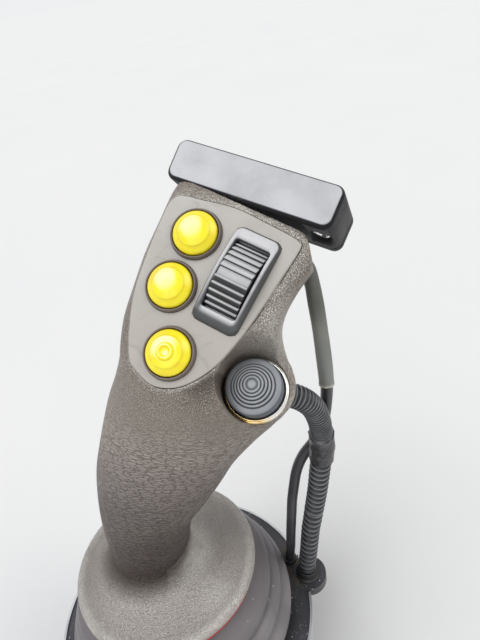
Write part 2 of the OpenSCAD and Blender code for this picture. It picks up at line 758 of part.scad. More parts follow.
module switch_box() {
    color("#3a3c42") at_box() difference() {
        translate([0, 0, box_cover_d - box_d])
            leaning_box(box_w, box_h, box_round, box_d - box_cover_d,
                box_d - box_cover_d - box_bevel, box_bevel);
        at_box_screw(box_recess) cylinder(r = box_screw_r + 0.4, h = box_recess + 1);
    }
}

module box_cover() {
    color("#2c2e33") at_box() translate([0, 0, box_cover_d - box_d]) mirror([0, 0, 1])
        leaning_box(box_w, box_h, box_round, box_cover_d, box_cover_d - box_bevel, box_bevel);
}

module box_screw() {
    color("silver") at_box() at_box_screw(box_recess) difference() {
        cylinder(r = box_screw_r, h = box_recess - 0.4);
        translate([0, 0, box_recess / 2]) cylinder(r = box_screw_r / 2, h = box_recess, $fn = 6);
    }
}

module lead_sleeve() { color("gray") cord(sleeve_route, sleeve_r, undef, down); }
module lead_upper() { color("black") cord(lead_upper_route, lead_r, down, lead_bend_dir); }
module lead_mid() { color("black") cord(lead_mid_route, lead_r, lead_bend_dir, down); }
module lead_lower() { color("black") cord(lead_lower_route, lead_r, down, down); }
module conduit_upper() { color("#2a2c30") cord(conduit_upper_route, conduit_r, undef, down); }
module tape_wrap() { color("#1c1c1e") cord(tape_route, tape_r, down, down); }
module conduit_mid() { color("#2a2c30") cord(conduit_mid_route, conduit_r, down, down); }
module conduit_lower() { color("#2a2c30") cord(conduit_lower_route, conduit_r, down, down); }

mount_plate();
edge_trim();
panel_studs();
gimbal_housing();
housing_cover();
cover_screws();
bellows_clamp();
conduit_gland();
lead_grommet();
bellows_lower();
conduit_lower();
lead_lower();
cardan_ring();
lever_shaft();
palm_rest();
palm_seal();
bellows_upper();
grip_body();
face_plate();
button_collar_1();
button_collar_2();
button_collar_3();
roller_bezel();
knob_ring();
switch_box();
box_cover();
box_screw();
lead_sleeve();
lead_upper();
lead_mid();
conduit_upper();
conduit_mid();
tape_wrap();
button_cap_1();
button_cap_2();
button_cap_3();
thumb_roller();
knob_cap();
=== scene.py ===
# %% [markdown]
# # A joystick control lever, dressed in Blender
#
# The lever stands on a round plate: a gimbal under the panel, a rubber bellows, a palm rest, and a
# leaning grip with three yellow buttons, a ribbed roller, a side knob and a switch box. The frame
# holds every solid in its place. This lesson makes the skin and the finish of each piece, one cell
# at a time, and lets each piece ride on the body that carries it. Lengths are written in
# millimetres, and MM turns them into Blender's metres.

# %% The frame
import math

import bmesh
import bpy
import numpy as np
from mathutils import Matrix, Vector


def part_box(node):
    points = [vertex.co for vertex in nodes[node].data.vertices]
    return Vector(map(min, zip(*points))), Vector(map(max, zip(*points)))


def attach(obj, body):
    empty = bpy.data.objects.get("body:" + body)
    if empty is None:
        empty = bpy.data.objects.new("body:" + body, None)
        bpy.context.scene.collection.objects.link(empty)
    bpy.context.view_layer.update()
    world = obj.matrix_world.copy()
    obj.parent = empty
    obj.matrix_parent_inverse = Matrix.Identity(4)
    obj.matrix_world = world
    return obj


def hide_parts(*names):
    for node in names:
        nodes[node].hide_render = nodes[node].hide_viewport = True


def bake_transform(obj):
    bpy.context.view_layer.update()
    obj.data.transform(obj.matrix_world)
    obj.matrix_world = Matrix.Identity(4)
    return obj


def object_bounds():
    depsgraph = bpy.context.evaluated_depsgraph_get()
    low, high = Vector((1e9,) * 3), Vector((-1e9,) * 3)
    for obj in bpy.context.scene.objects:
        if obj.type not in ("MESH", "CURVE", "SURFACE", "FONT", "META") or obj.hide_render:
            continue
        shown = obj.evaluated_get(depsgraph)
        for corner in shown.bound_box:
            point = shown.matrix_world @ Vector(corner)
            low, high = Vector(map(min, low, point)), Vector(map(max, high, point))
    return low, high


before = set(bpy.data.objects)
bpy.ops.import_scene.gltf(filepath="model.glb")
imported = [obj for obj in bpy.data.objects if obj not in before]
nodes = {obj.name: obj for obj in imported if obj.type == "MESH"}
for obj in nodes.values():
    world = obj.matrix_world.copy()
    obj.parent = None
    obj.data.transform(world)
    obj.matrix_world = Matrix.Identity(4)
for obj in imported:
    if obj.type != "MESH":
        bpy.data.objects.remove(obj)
cad_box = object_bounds()
MM = 0.001

# %% [markdown]
# ## The camera
#
# The picture was taken by hand from above the armrest. A camera could be set by eye, but then
# nothing lines up. So the eye's place and its directions were worked out from the round rims and
# the roller's window. A lens of 29.25 mm on a 36 mm sensor gives the same angle of view.

# %% The camera at the photograph's viewpoint
EYE = Vector((90.07, -137.95, 289.28)) * MM
LOOK = Vector((-0.1793, 0.813, -0.5539)).normalized()
PICTURE_RIGHT = Vector((0.9815, 0.1094, -0.157)).normalized()

lens = bpy.data.cameras.new("photo_lens")
lens.lens = 29.25
lens.sensor_width = 36
lens.clip_start = 0.01
camera = bpy.data.objects.new("photo_camera", lens)
bpy.context.scene.collection.objects.link(camera)
picture_up = PICTURE_RIGHT.cross(LOOK).normalized()
turn = Matrix((PICTURE_RIGHT, picture_up, -LOOK)).transposed()
camera.matrix_world = Matrix.Translation(EYE) @ turn.to_4x4()
bpy.context.scene.camera = camera
print("camera at", [round(c, 3) for c in EYE])

# %% [markdown]
# ## Routes of the cords
#
# A corrugated conduit leaves the grip's flank and goes down into a gland in the plate. It is two
# lengths joined with black tape. A lead in a grey sleeve hangs behind the head and goes into a
# grommet. Bezier handles would have to be set one by one. Here each route is a short list of
# points, made smooth by a spline that runs through them, and its neighbours share their end points.

# %% Smooth routes through listed points
TAPE_TOP = (81.4, 13.5, 127)
TAPE_FOOT = (80.3, 15.4, 110)
CONDUIT_SEAM = (74.1, 19.3, 69)
LEAD_JOINT = (85.2, 20, 148)
LEAD_BEND = (76.2, 24, 109)
LEAD_SEAM = (62.3, 22.2, 62)
ROUTES = {
    "conduit_upper": [(60, 3, 158), (66, 3.5, 158.5), (71, 4.5, 157.5), (76, 6, 153.5),
                      (79.5, 8.5, 146.5), (81.2, 11.3, 136.5), TAPE_TOP],
    "tape_wrap": [TAPE_TOP, (81.3, 14.3, 121), (81, 14.9, 115.5), TAPE_FOOT],
    "conduit_mid": [TAPE_FOOT, (78.6, 16.7, 98), (76.8, 17.9, 85), CONDUIT_SEAM],
    "conduit_lower": [CONDUIT_SEAM, (72.6, 20, 60), (71, 20.6, 51), (69.4, 21.3, 39),
                      (67.8, 22, 27), (66.4, 22.5, 18), (65.7, 22.6, 11)],
    "lead_sleeve": [(75.4, 31.6, 197.5), (80.5, 35.8, 193.5), (82.4, 34.2, 187), (83.3, 30, 180),
                    (84.2, 25, 171), (85, 21.5, 157), LEAD_JOINT],
    "lead_upper": [LEAD_JOINT, (84.5, 20.6, 140), (83, 22, 129), (80.2, 23.6, 117), LEAD_BEND],
    "lead_mid": [LEAD_BEND, (71.4, 23.2, 102), (67.8, 22.6, 93), (65.4, 22.2, 82),
                 (63.6, 22.1, 72), LEAD_SEAM],
    "lead_lower": [LEAD_SEAM, (60.8, 22.8, 50), (59.5, 23.8, 39), (58.3, 25.6, 28),
                   (56.9, 27.8, 18), (55.5, 30, 8.5)],
}


def spline(points, steps, closed=False):
    """A smooth line through the given points, with the given steps from each one to the next."""
    p = np.array(points, float)
    last = len(p) - 1
    line = []
    for i in range(len(p) if closed else last):
        places = [k % len(p) if closed else min(max(k, 0), last) for k in range(i - 1, i + 3)]
        a, b, c, d = (p[k] for k in places)
        for t in np.arange(steps) / steps:
            line.append(0.5 * (2 * b + (c - a) * t + (2 * a - 5 * b + 4 * c - d) * t ** 2
                               + (3 * b - a - 3 * c + d) * t ** 3))
    return np.array(line if closed else line + [p[-1]])


def smooth_path(points, steps=8):
    """A cord's route in metres."""
    return spline(points, steps) * MM


def path_length(path):
    return float(np.linalg.norm(np.diff(path, axis=0), axis=1).sum())


paths = {name: smooth_path(points) for name, points in ROUTES.items()}
print({name: round(path_length(path), 4) for name, path in paths.items()})

# %% [markdown]
# ## Finishes
#
# Every finish is a small graph of nodes that reads the piece's own object coordinates, so it needs
# no unwrapping and stays with the piece when the lever moves. Written plainly, each node takes four
# or five lines. A helper object keeps it short: each call adds one node and returns its output.


# %% A helper that writes a node material step by step
class Finish:
    """A material whose nodes are added one call at a time."""

    def __init__(self, name, base, roughness=0.5, **sockets):
        self.material = bpy.data.materials.new(name)
        self.material.use_nodes = True
        self.tree = self.material.node_tree
        self.shader = self.tree.nodes["Principled BSDF"]
        self.shader.inputs["Base Color"].default_value = (*base, 1)
        self.shader.inputs["Roughness"].default_value = roughness
        for socket, value in sockets.items():
            label = socket.replace("_", " ").title().replace("Ior", "IOR")
            self.shader.inputs[label].default_value = value
        self.place = self.add("ShaderNodeTexCoord").outputs["Object"]

    def add(self, kind, **settings):
        node = self.tree.nodes.new(kind)
        for key, value in settings.items():
            setattr(node, key, value)
        return node

    def feed(self, socket, value):
        if isinstance(value, bpy.types.NodeSocket):
            self.tree.links.new(value, socket)
        else:
            socket.default_value = value

    def stretched(self, x, y, z):
        node = self.add("ShaderNodeMapping")
        self.feed(node.inputs["Vector"], self.place)
        node.inputs["Scale"].default_value = (x, y, z)
        return node.outputs["Vector"]

    def noise(self, scale, detail=3, distortion=0, vector=None):
        node = self.add("ShaderNodeTexNoise")
        self.feed(node.inputs["Vector"], vector or self.place)
        node.inputs["Scale"].default_value = scale
        node.inputs["Detail"].default_value = detail
        node.inputs["Distortion"].default_value = distortion
        return node.outputs["Fac"]

    def cells(self, scale, feature="F1", vector=None):
        node = self.add("ShaderNodeTexVoronoi", feature=feature)
        self.feed(node.inputs["Vector"], vector or self.place)
        node.inputs["Scale"].default_value = scale
        return node.outputs["Distance"]

    def bent(self, amount, scale, vector=None):
        """Coordinates pushed about by noise, so that a pattern isn't regular."""
        node = self.add("ShaderNodeTexNoise")
        self.feed(node.inputs["Vector"], vector or self.place)
        node.inputs["Scale"].default_value = scale
        shift = self.add("ShaderNodeVectorMath", operation="MULTIPLY_ADD")
        self.feed(shift.inputs[0], node.outputs["Color"])
        shift.inputs[1].default_value = (amount, amount, amount)
        self.feed(shift.inputs[2], vector or self.place)
        return shift.outputs["Vector"]

    def ramp(self, value, low, high, start=0.0, end=1.0):
        node = self.add("ShaderNodeMapRange", interpolation_type="SMOOTHSTEP")
        self.feed(node.inputs["Value"], value)
        node.inputs["From Min"].default_value = low
        node.inputs["From Max"].default_value = high
        node.inputs["To Min"].default_value = start
        node.inputs["To Max"].default_value = end
        return node.outputs["Result"]

    def cloud(self, scale, detail, low, high, start=0.0, end=1.0):
        """Soft patches of noise, from start where it is low to end where it is high."""
        return self.ramp(self.noise(scale, detail), low, high, start, end)

    def math(self, operation, a, b):
        node = self.add("ShaderNodeMath", operation=operation)
        self.feed(node.inputs[0], a)
        self.feed(node.inputs[1], b)
        return node.outputs[0]

    def times(self, a, b):
        return self.math("MULTIPLY", a, b)

    def blend(self, amount, a, b):
        node = self.add("ShaderNodeMix", data_type="RGBA")
        self.feed(node.inputs["Factor"], amount)
        for socket, colour in ((node.inputs[6], a), (node.inputs[7], b)):
            self.feed(socket, colour if isinstance(colour, bpy.types.NodeSocket) else (*colour, 1))
        return node.outputs[2]

    def attribute(self, name):
        return self.add("ShaderNodeAttribute", attribute_name=name).outputs["Fac"]

    def facing(self, direction):
        """How far a face looks in a direction of the object's own frame, from -1 to 1."""
        dot = self.add("ShaderNodeVectorMath", operation="DOT_PRODUCT")
        self.feed(dot.inputs[0], self.add("ShaderNodeTexCoord").outputs["Normal"])
        dot.inputs[1].default_value = Vector(direction).normalized()
        return dot.outputs["Value"]

    def near(self, point_mm):
        """Distance from a point that is given in millimetres."""
        away = self.add("ShaderNodeVectorMath", operation="DISTANCE")
        self.feed(away.inputs[0], self.place)
        away.inputs[1].default_value = Vector(point_mm) * MM
        return away.outputs["Value"]

    def height(self):
        """How high a point lies, in metres."""
        split = self.add("ShaderNodeSeparateXYZ")
        self.feed(split.inputs[0], self.place)
        return split.outputs["Z"]

    def mixed(self, amount, a, b):
        """A number between a and b."""
        node = self.add("ShaderNodeMix", data_type="FLOAT")
        self.feed(node.inputs["Factor"], amount)
        self.feed(node.inputs[2], a)
        self.feed(node.inputs[3], b)
        return node.outputs[0]

    def bump(self, height, depth_mm, strength=1.0):
        node = self.add("ShaderNodeBump")
        node.inputs["Strength"].default_value = strength
        node.inputs["Distance"].default_value = depth_mm * MM
        self.feed(node.inputs["Height"], height)
        before = self.shader.inputs["Normal"].links
        if before:
            self.feed(node.inputs["Normal"], before[0].from_socket)
        self.feed(self.shader.inputs["Normal"], node.outputs["Normal"])

    def colour(self, value):
        self.feed(self.shader.inputs["Base Color"], value)

    def rough(self, value):
        self.feed(self.shader.inputs["Roughness"], value)

    def gloss(self, scale, detail, low, high):
        """Roughness that wanders between two values, in patches."""
        self.rough(self.cloud(scale, detail, 0.3, 0.7, low, high))


def tone(red, green, blue):
    """A colour as it is seen on a screen, 0 to 255, in the linear values that shaders take."""
    def linear(c):
        c = c / 255
        return c / 12.92 if c <= 0.04045 else ((c + 0.055) / 1.055) ** 2.4
    return (linear(red), linear(green), linear(blue))


print("mid grey on a screen is, to a shader,", round(tone(128, 128, 128)[0], 3))

# %% [markdown]
# ### Dust
#
# Everything in a working cab carries a little pale dust. It could be scattered as small objects,
# but at this size it is only colour. Each cell of a Voronoi pattern gives one small round spot, and
# noise decides where the spots lie.


# %% Flecks of dust
def flecks(finish, colour, pale, spacing=6.0, size=0.2, share=0.5):
    """Mixes small scattered flecks into a colour. Spacing and size are in millimetres."""
    spot = finish.cells(1 / (spacing * MM), "F1", finish.bent(0.0012, 500))
    near = finish.ramp(spot, size / spacing * 0.7, size / spacing, 1, 0)
    here = finish.cloud(110, 3, share, share + 0.08)
    return finish.blend(finish.times(near, here), colour, pale)


def report(*finishes):
    print("finishes:", {finish.name: len(finish.node_tree.nodes) for finish in finishes})


print("fleck helper ready, materials so far:", len(bpy.data.materials))

# %% [markdown]
# ### The grip's leather grain
#
# The grip is moulded with a leather grain: short level wrinkles on the column, and small pebbles on
# the head and on the palm rest. The grain could be carved into the mesh, but that would take
# millions of faces. Voronoi distance to the edge gives the valleys of both patterns, as colour and
# as bump. Three attributes painted on the mesh say where the skin is pale, where hands have worn it
# and where a painted highlight stands in for light, where painted shade darkens it, and where the
# grain is coarse.

# %% The leather
WRINKLE = 1.1
PEBBLE = 0.58


def leather(name, base, foot, palm, pale_mark):
    finish = Finish(name, base, 0.5, specular_ior_level=0.3)
    # Wrinkles on the column: cells squeezed in height and pushed about. Pebbles elsewhere.
    wrinkle_space = finish.bent(0.0016, 480, finish.stretched(0.27, 0.27, 1))
    folds = finish.ramp(finish.cells(1 / (WRINKLE * MM), "DISTANCE_TO_EDGE", wrinkle_space), 0, 0.11)
    pebble_space = finish.bent(0.0009, 800, finish.stretched(1, 1, 0.62))
    pebbles = finish.ramp(finish.cells(1 / (PEBBLE * MM), "DISTANCE_TO_EDGE", pebble_space), 0, 0.15)
    in_head = finish.ramp(finish.height(), 0.146, 0.182)
    in_palm = finish.ramp(finish.height(), 0.0585, 0.064, 1, 0)
    pebbled = finish.math("MAXIMUM", in_head, in_palm)
    grain = finish.mixed(pebbled, folds, pebbles)
    finish.bump(finish.noise(240, 3), 0.15, 0.7)
    finish.bump(grain, 0.3)
    finish.bump(finish.noise(2200, 3), 0.05, 0.6)
    # Colour: painted shade darkens the foot of the column, and worn places and painted highlights are
    # pale.
    foot_shade = finish.ramp(finish.height(), 0.08, 0.158, 1, 0)
    in_column = finish.ramp(finish.height(), 0.12, 0.165, 1, 0)
    column = finish.blend(in_column, base, tone(158, 149, 145))
    # The palm rest's tone is painted lighter than the column's, as painted light on its upward face.
    zone = finish.blend(in_palm, finish.blend(foot_shade, column, foot), palm)
    patches = finish.cloud(24, 5, 0.3, 0.7, 0, 0.3)
    even = finish.blend(patches, zone, tuple(c * 0.8 for c in base))
    # Painted shade darkens the hollow beside the knob and the foot of the column.
    even = finish.blend(finish.attribute("painted_shade"), even, tone(86, 77, 71))
    # Pale places: partly wear, partly painted highlights.
    wear_and_highlight = finish.times(finish.attribute("wear_and_highlight"), finish.cloud(180, 5, 0.25, 0.65, 0.55, 1))
    even = finish.blend(wear_and_highlight, even, finish.blend(in_palm, pale_mark, tone(254, 251, 246)))
    # The valleys of the grain are the same colour, darkened. They are deepest where it is coarse.
    valleys = finish.blend(pebbled, (0.47, 0.44, 0.43), (0.64, 0.62, 0.59))
    valleys = finish.blend(finish.attribute("coarse"), valleys, (0.42, 0.39, 0.35))
    dark = finish.add("ShaderNodeMix", data_type="RGBA", blend_type="MULTIPLY")
    dark.inputs["Factor"].default_value = 1
    finish.feed(dark.inputs[6], even)
    finish.feed(dark.inputs[7], valleys)
    sand = finish.cloud(1500, 3, 0.3, 0.65, 0.62, 1)
    skin = finish.blend(finish.times(grain, sand), dark.outputs[2], even)
    finish.colour(flecks(finish, skin, tone(226, 221, 212), 8.0, 0.2, 0.57))
    finish.rough(finish.mixed(wear_and_highlight, finish.cloud(60, 4, 0.3, 0.7, 0.42, 0.56), 0.36))
    return finish.material


grip_grain = leather("grip_grain", base=tone(167, 157, 148), foot=tone(76, 66, 65),
                     palm=tone(212, 206, 201), pale_mark=tone(224, 220, 213))
report(grip_grain)

# %% [markdown]
# ### Dark plastic under the windows
#
# The switch box and the roller's bezel are dark plastic, yet the faces that look up are pale,
# because they reflect the windows' light. A stronger lamp would bleach the rest of the lever. So the
# finish itself blends to a painted sheen, by the direction in which a face looks, in patches.

# %% Plastic with a painted sheen
SKY_SIDE = (0, -0.35, 0.94)


def plastic_with_painted_sheen(name, base, pale_patches, low, high, direction=SKY_SIDE, texture=0.03,
                   roughness=(0.3, 0.42), shine=0.5):
    """Dark plastic, painted pale on the faces that look up towards the windows, as their sheen."""
    finish = Finish(name, base, 0.4, specular_ior_level=shine)
    finish.bump(finish.noise(1500, 2), texture)
    # Painted sheen: faces that look towards the windows blend to the pale tone, in patches.
    lies = finish.ramp(finish.facing(direction), low, high)
    sheen_share = finish.times(lies, finish.cloud(46, 6, 0.25, 0.65, 0.72, 1))
    scuffs = finish.ramp(finish.noise(260, 5, 0.8, finish.stretched(1, 1, 3)), 0.55, 0.75, 0, 0.12)
    body = finish.blend(sheen_share, base, pale_patches)
    body = finish.blend(scuffs, body, tuple(c * 0.35 for c in pale_patches))
    finish.colour(flecks(finish, body, tone(216, 212, 206), 6.0, 0.17, 0.6))
    finish.gloss(90, 5, *roughness)
    return finish.material


bezel_satin = plastic_with_painted_sheen("bezel_satin", tone(68, 69, 70), tone(214, 214, 217), 0.8, 0.97)
box_charcoal = plastic_with_painted_sheen("box_charcoal", tone(34, 34, 37), tone(206, 207, 211), 0.84, 0.96,
                              (0, -0.6, 0.8), 0.05, (0.44, 0.54), 0.14)
report(bezel_satin, box_charcoal)

# %% [markdown]
# ### Matt plastic
#
# The button collars and the gimbal's housing are plain moulded plastic. A single colour would look
# like paint, so the colour and the roughness both wander a little.


# %% Collars and housing
def matt_plastic(name, base, texture, roughness=(0.42, 0.56)):
    finish = Finish(name, base, 0.5)
    finish.bump(finish.noise(2600, 2), texture)
    shade = finish.cloud(40, 5, 0.3, 0.7)
    body = finish.blend(shade, base, tuple(c * 0.9 for c in base))
    finish.colour(flecks(finish, body, tone(206, 202, 196), 6.0, 0.17, 0.6))
    finish.gloss(90, 5, *roughness)
    return finish.material


collar_dark = matt_plastic("collar_dark", tone(116, 104, 99), 0.015, (0.35, 0.48))
housing_black = matt_plastic("housing_black", tone(44, 45, 48), 0.05)
report(collar_dark, housing_black)

# %% [markdown]
# ### The face plate's plastic
#
# The plate is smooth warm grey plastic, painted a little darker at its lower end as shade, since
# the light falls on its top. Thumbs leave faint smears between the buttons. Stretched noise gives
# them, because a wiped smear is longer than it is wide.


# %% Smooth plastic with smears
def plate_plastic():
    """The face plate's smooth plastic, with faint thumb smears between the buttons."""
    base = tone(184, 181, 176)
    finish = Finish("face_matt", base, 0.5)
    finish.bump(finish.noise(1700, 3), 0.02)
    shade = finish.cloud(36, 5, 0.3, 0.7)
    # Painted shade: darker towards the lower end.
    body = finish.blend(finish.ramp(finish.height(), 0.17, 0.235, 1, 0), base, tone(174, 168, 160))
    body = finish.blend(finish.times(shade, 0.3), body, tone(162, 156, 149))
    smear = finish.ramp(finish.noise(95, 6, 1.6, finish.stretched(1, 2.2, 1)), 0.57, 0.75, 0, 0.35)
    body = finish.blend(smear, body, tone(134, 124, 116))
    finish.colour(flecks(finish, body, tone(224, 220, 212), 3.2, 0.14, 0.52))
    finish.gloss(120, 5, 0.4, 0.54)
    return finish.material


face_matt = plate_plastic()
report(face_matt)

# %% [markdown]
# ### Yellow caps
#
# The caps are bright yellow plastic with a sheen, which a thin coat over the colour gives. Their
# tops carry a painted highlight where they face the windows. Two rings are painted darker: painted
# shade at the step where the dome meets its shoulder, and a ring at the rim: an attribute on the
# mesh says where.


# %% The caps' yellow
def yellow_cap():
    finish = Finish("button_yellow", tone(255, 238, 10), 0.34, coat_weight=0.5, coat_roughness=0.25)
    smear = finish.ramp(finish.noise(150, 5, 1.2), 0.4, 0.75)
    wear_and_highlight = finish.blend(smear, tone(255, 240, 12), tone(252, 224, 6))
    # Darker rings from the mesh: painted shade at the dome's step, and a darker rim.
    darker_rings = finish.times(finish.attribute("darker_rings"), finish.cloud(420, 4, 0.3, 0.6, 0.2, 0.75))
    # Painted highlight where the dome faces the windows.
    pale = finish.ramp(finish.facing((-0.1, -0.5, 0.85)), 0.93, 0.99, 0, 0.85)
    wear_and_highlight = finish.blend(pale, wear_and_highlight, tone(255, 253, 176))
    finish.colour(finish.blend(darker_rings, wear_and_highlight, tone(176, 142, 30)))
    finish.gloss(300, 4, 0.28, 0.42)
    finish.bump(finish.noise(900, 3), 0.015, 0.5)
    return finish.material


button_yellow = yellow_cap()
report(button_yellow)

# %% [markdown]
# ### Rubber
#
# The bellows, the bare lead, the seal and the gland are rubber: rough, with a film of dust in
# patches. One function makes all four, and each gives its own two colours, so they still look like
# one family.


# %% Bellows, lead, seal and gland
def rubber(name, base, dusty, roughness=(0.5, 0.7), texture=0.04, fleck_share=0.58, fleck_mm=0.17):
    finish = Finish(name, base, 0.6)
    pale_patches = finish.cloud(34, 6, 0.38, 0.72)
    body = finish.blend(pale_patches, base, dusty)
    finish.colour(flecks(finish, body, tone(204, 201, 195), 5.5, fleck_mm, fleck_share))
    finish.gloss(80, 4, *roughness)
    finish.bump(finish.noise(1500, 3), texture)
    return finish.material


bellows_rubber = rubber("bellows_rubber", tone(110, 106, 109), tone(132, 128, 129), (0.46, 0.6), 0.04,
                        0.44, 0.42)
lead_black = rubber("lead_black", tone(52, 52, 56), tone(76, 76, 80), (0.34, 0.48), 0.03)
seal_red = rubber("seal_red", tone(196, 50, 44), tone(168, 50, 44))
gland_rubber = rubber("gland_rubber", tone(36, 36, 38), tone(60, 56, 52), (0.5, 0.7), 0.06, 0.5)
report(bellows_rubber, lead_black, seal_red, gland_rubber)

# %% [markdown]
# ### Corrugated conduit
#
# The conduit's ribs carry a painted highlight on their crests and painted shade between them. The
# tree that makes the hose stores how high each point lies on its rib, and the finish reads that. So
# the painted lines stay on the ribs at any pitch, which a pattern of its own could not promise.


# %% The conduit's plastic
def ribbed_plastic(name, base, highlight_tone):
    """Conduit: a painted highlight on the rib crests and painted shade between the ribs."""
    finish = Finish(name, base, 0.4)
    crest = finish.ramp(finish.attribute("crest"), 0.6, 0.98)
    # Painted highlight on the rib crests, above the foot.
    pale_mark = finish.times(crest, finish.cloud(210, 4, 0.3, 0.6, 0.4, 1))
    pale_mark = finish.times(pale_mark, finish.ramp(finish.height(), 0.012, 0.02))
    # Painted shade between the ribs.
    groove = tuple(c * 0.22 for c in base)
    body = finish.blend(finish.ramp(finish.attribute("crest"), 0.05, 0.6), groove, base)
    finish.colour(finish.blend(pale_mark, body, highlight_tone))
    finish.gloss(160, 4, 0.3, 0.44)
    finish.bump(finish.noise(1900, 3), 0.02)
    return finish.material


conduit_plastic = ribbed_plastic("conduit_plastic", tone(46, 47, 51), tone(126, 128, 133))
report(conduit_plastic)

# %% [markdown]
# ### Metals
#
# The studs, the cover's screws and the shaft are zinc-plated steel, the gimbal's ring is a light
# alloy, and the box's screw is bright. Brushing is too fine to model. Noise stretched strongly one
# way makes the scratches as bump, and the same noise drives the roughness.


# %% Steel and alloy
def metal(name, base, roughness=(0.22, 0.4), tarnish_tone=None, scratch_mm=0.02, tarnish_from=0.42):
    finish = Finish(name, base, 0.3, metallic=1.0)
    scratches = finish.noise(900, 4, 0, finish.stretched(1, 1, 14))
    finish.bump(scratches, scratch_mm, 0.5)
    tarnish = finish.cloud(95, 6, tarnish_from, tarnish_from + 0.24)
    finish.colour(finish.blend(tarnish, base, tarnish_tone or tuple(c * 0.65 for c in base)))
    finish.rough(finish.ramp(scratches, 0.3, 0.7, *roughness))
    return finish.material


bright_metal = metal("bright_metal", tone(232, 233, 234), (0.2, 0.3), tone(206, 204, 198), 0.004, 0.55)
zinc_steel = metal("zinc_steel", tone(178, 178, 174), (0.35, 0.5))
gimbal_alloy = metal("gimbal_alloy", tone(184, 186, 188), (0.3, 0.45))
report(bright_metal, zinc_steel, gimbal_alloy)

# %% [markdown]
# ### The plate's bright edge and the knob's ring
#
# The edge is polished metal, dull in places. The ring is brass under a silvery plating that has
# gone on its lower left side. Two materials would show a hard border, so one material blends from
# silver to brass by an attribute that is painted on the ring.


# %% Polished edge and worn plating
def trim_finish():
    """Thin polished edge, a little dull in places."""
    finish = Finish("trim_metal", tone(206, 209, 212), 0.3, metallic=0.9)
    dull = finish.cloud(70, 4, 0.4, 0.7)
    finish.colour(finish.blend(dull, tone(208, 211, 214), tone(178, 180, 182)))
    finish.rough(finish.mixed(dull, 0.28, 0.42))
    finish.bump(finish.noise(160, 2), 0.01)
    return finish.material


def tarnished_ring():
    """Plated brass: silver where it is polished, brass where the plating has gone, low on the left."""
    finish = Finish("knob_brass", tone(228, 226, 220), 0.28, metallic=1.0)
    gone = finish.attribute("brassy")
    spots = finish.cloud(170, 6, 0.35, 0.55, 0.55, 1)
    brass = finish.blend(finish.noise(260, 4), tone(222, 190, 118), tone(188, 152, 82))
    finish.colour(finish.blend(finish.times(gone, spots), tone(230, 228, 222), brass))
    finish.bump(finish.noise(800, 4), 0.012, 0.5)
    finish.gloss(300, 4, 0.2, 0.34)
    return finish.material


trim_metal = trim_finish()
knob_brass = tarnished_ring()
report(trim_metal, knob_brass)

# %% [markdown]
# ### The knob's rubber
#
# The side knob is dark rubber, cut in rings. Thumbs have rubbed the tops of the rings grey, and the
# grooves between them carry painted shade, as does the rim's rounded edge. The first two are
# attributes that the knob's mesh carries, because the rings are known exactly there.


# %% Ringed rubber
def knob_finish():
    """Dark rubber whose ring tops are scuffed grey by thumbs, with a duller flat rim, painted shade on
    the rim's rounded edge and painted shade between the rings.
    """
    finish = Finish("knob_rubber", tone(70, 74, 82), 0.46)
    pale_patches = finish.cloud(60, 6, 0.35, 0.7)
    rim = finish.blend(pale_patches, tone(128, 131, 138), tone(146, 149, 153))
    top = finish.times(finish.attribute("crest"), finish.cloud(380, 4, 0.25, 0.6, 0.5, 1))
    # Painted shade on the rim's rounded edge, where it leans away from the knob's axis.
    edge_shade = finish.ramp(finish.facing((0, -0.57, 0.82)), 0.5, 0.93, 1, 0)
    rim = finish.blend(edge_shade, rim, tone(82, 86, 96))
    # Painted shade in the grooves between the rings.
    body = finish.blend(finish.attribute("groove"), rim, tone(40, 43, 48))
    body = finish.blend(top, body, tone(160, 163, 166))
    finish.colour(flecks(finish, body, tone(200, 198, 192), 5.0, 0.15, 0.62))
    finish.gloss(90, 4, 0.4, 0.54)
    finish.bump(finish.noise(1500, 3), 0.03)
    return finish.material


knob_rubber = knob_finish()
report(knob_rubber)

# %% [markdown]
# ### Sleeve and tape
#
# A grey sleeve covers the upper part of the lead, and black tape holds the two lengths of conduit.
# Both are pale where they are torn: an attribute marks the sleeve's lower end and the edge of each
# turn of tape.


# %% Sleeve grey and tape black
def sleeve_finish():
    """Grey sleeve with pale patches of dust, painted darker higher up as the head's shadow, with a
    frayed pale end.
    """
    finish = Finish("sleeve_grey", tone(110, 110, 104), 0.55)
    # Painted shadow from the head: darker higher up, lighter low down.
    high = finish.ramp(finish.height(), 0.152, 0.188)
    body = finish.blend(high, tone(130, 133, 129), tone(88, 91, 86))
    pale_patches = finish.cloud(60, 6, 0.35, 0.7, 0, 0.5)
    body = finish.blend(pale_patches, body, tone(142, 140, 132))
    body = finish.blend(finish.attribute("frayed"), body, tone(206, 200, 186))
    finish.colour(flecks(finish, body, tone(200, 196, 188), 5.0, 0.16, 0.6))
    finish.gloss(80, 4, 0.5, 0.64)
    finish.bump(finish.noise(1200, 4, 0, finish.stretched(1, 1, 0.4)), 0.06)
    return finish.material


def tape_finish():
    """Black tape, scuffed pale on the top turn and along its torn edges."""
    finish = Finish("tape_black", tone(40, 40, 43), 0.36)
    pale_patches = finish.cloud(70, 6, 0.35, 0.7)
    body = finish.blend(pale_patches, tone(34, 34, 36), tone(54, 54, 58))
    pale_mark = finish.times(finish.attribute("frayed"), finish.cloud(330, 5, 0.35, 0.62))
    body = finish.blend(pale_mark, body, tone(128, 128, 130))
    finish.colour(flecks(finish, body, tone(196, 194, 190), 4.0, 0.17, 0.55))
    finish.gloss(120, 4, 0.26, 0.42)
    finish.bump(finish.noise(420, 5), 0.12)
    return finish.material


sleeve_grey = sleeve_finish()
tape_black = tape_finish()
report(sleeve_grey, tape_black)

# %% [markdown]
# ### The black plate
#
# The round plate is painted black. Brown earth has dried where the cords go in, and pale grit lies
# about. The earth is bound to a place, so it fades with the distance from a point.

# %% Plate with earth and grit
EARTH_AT = (55, 27, 6)


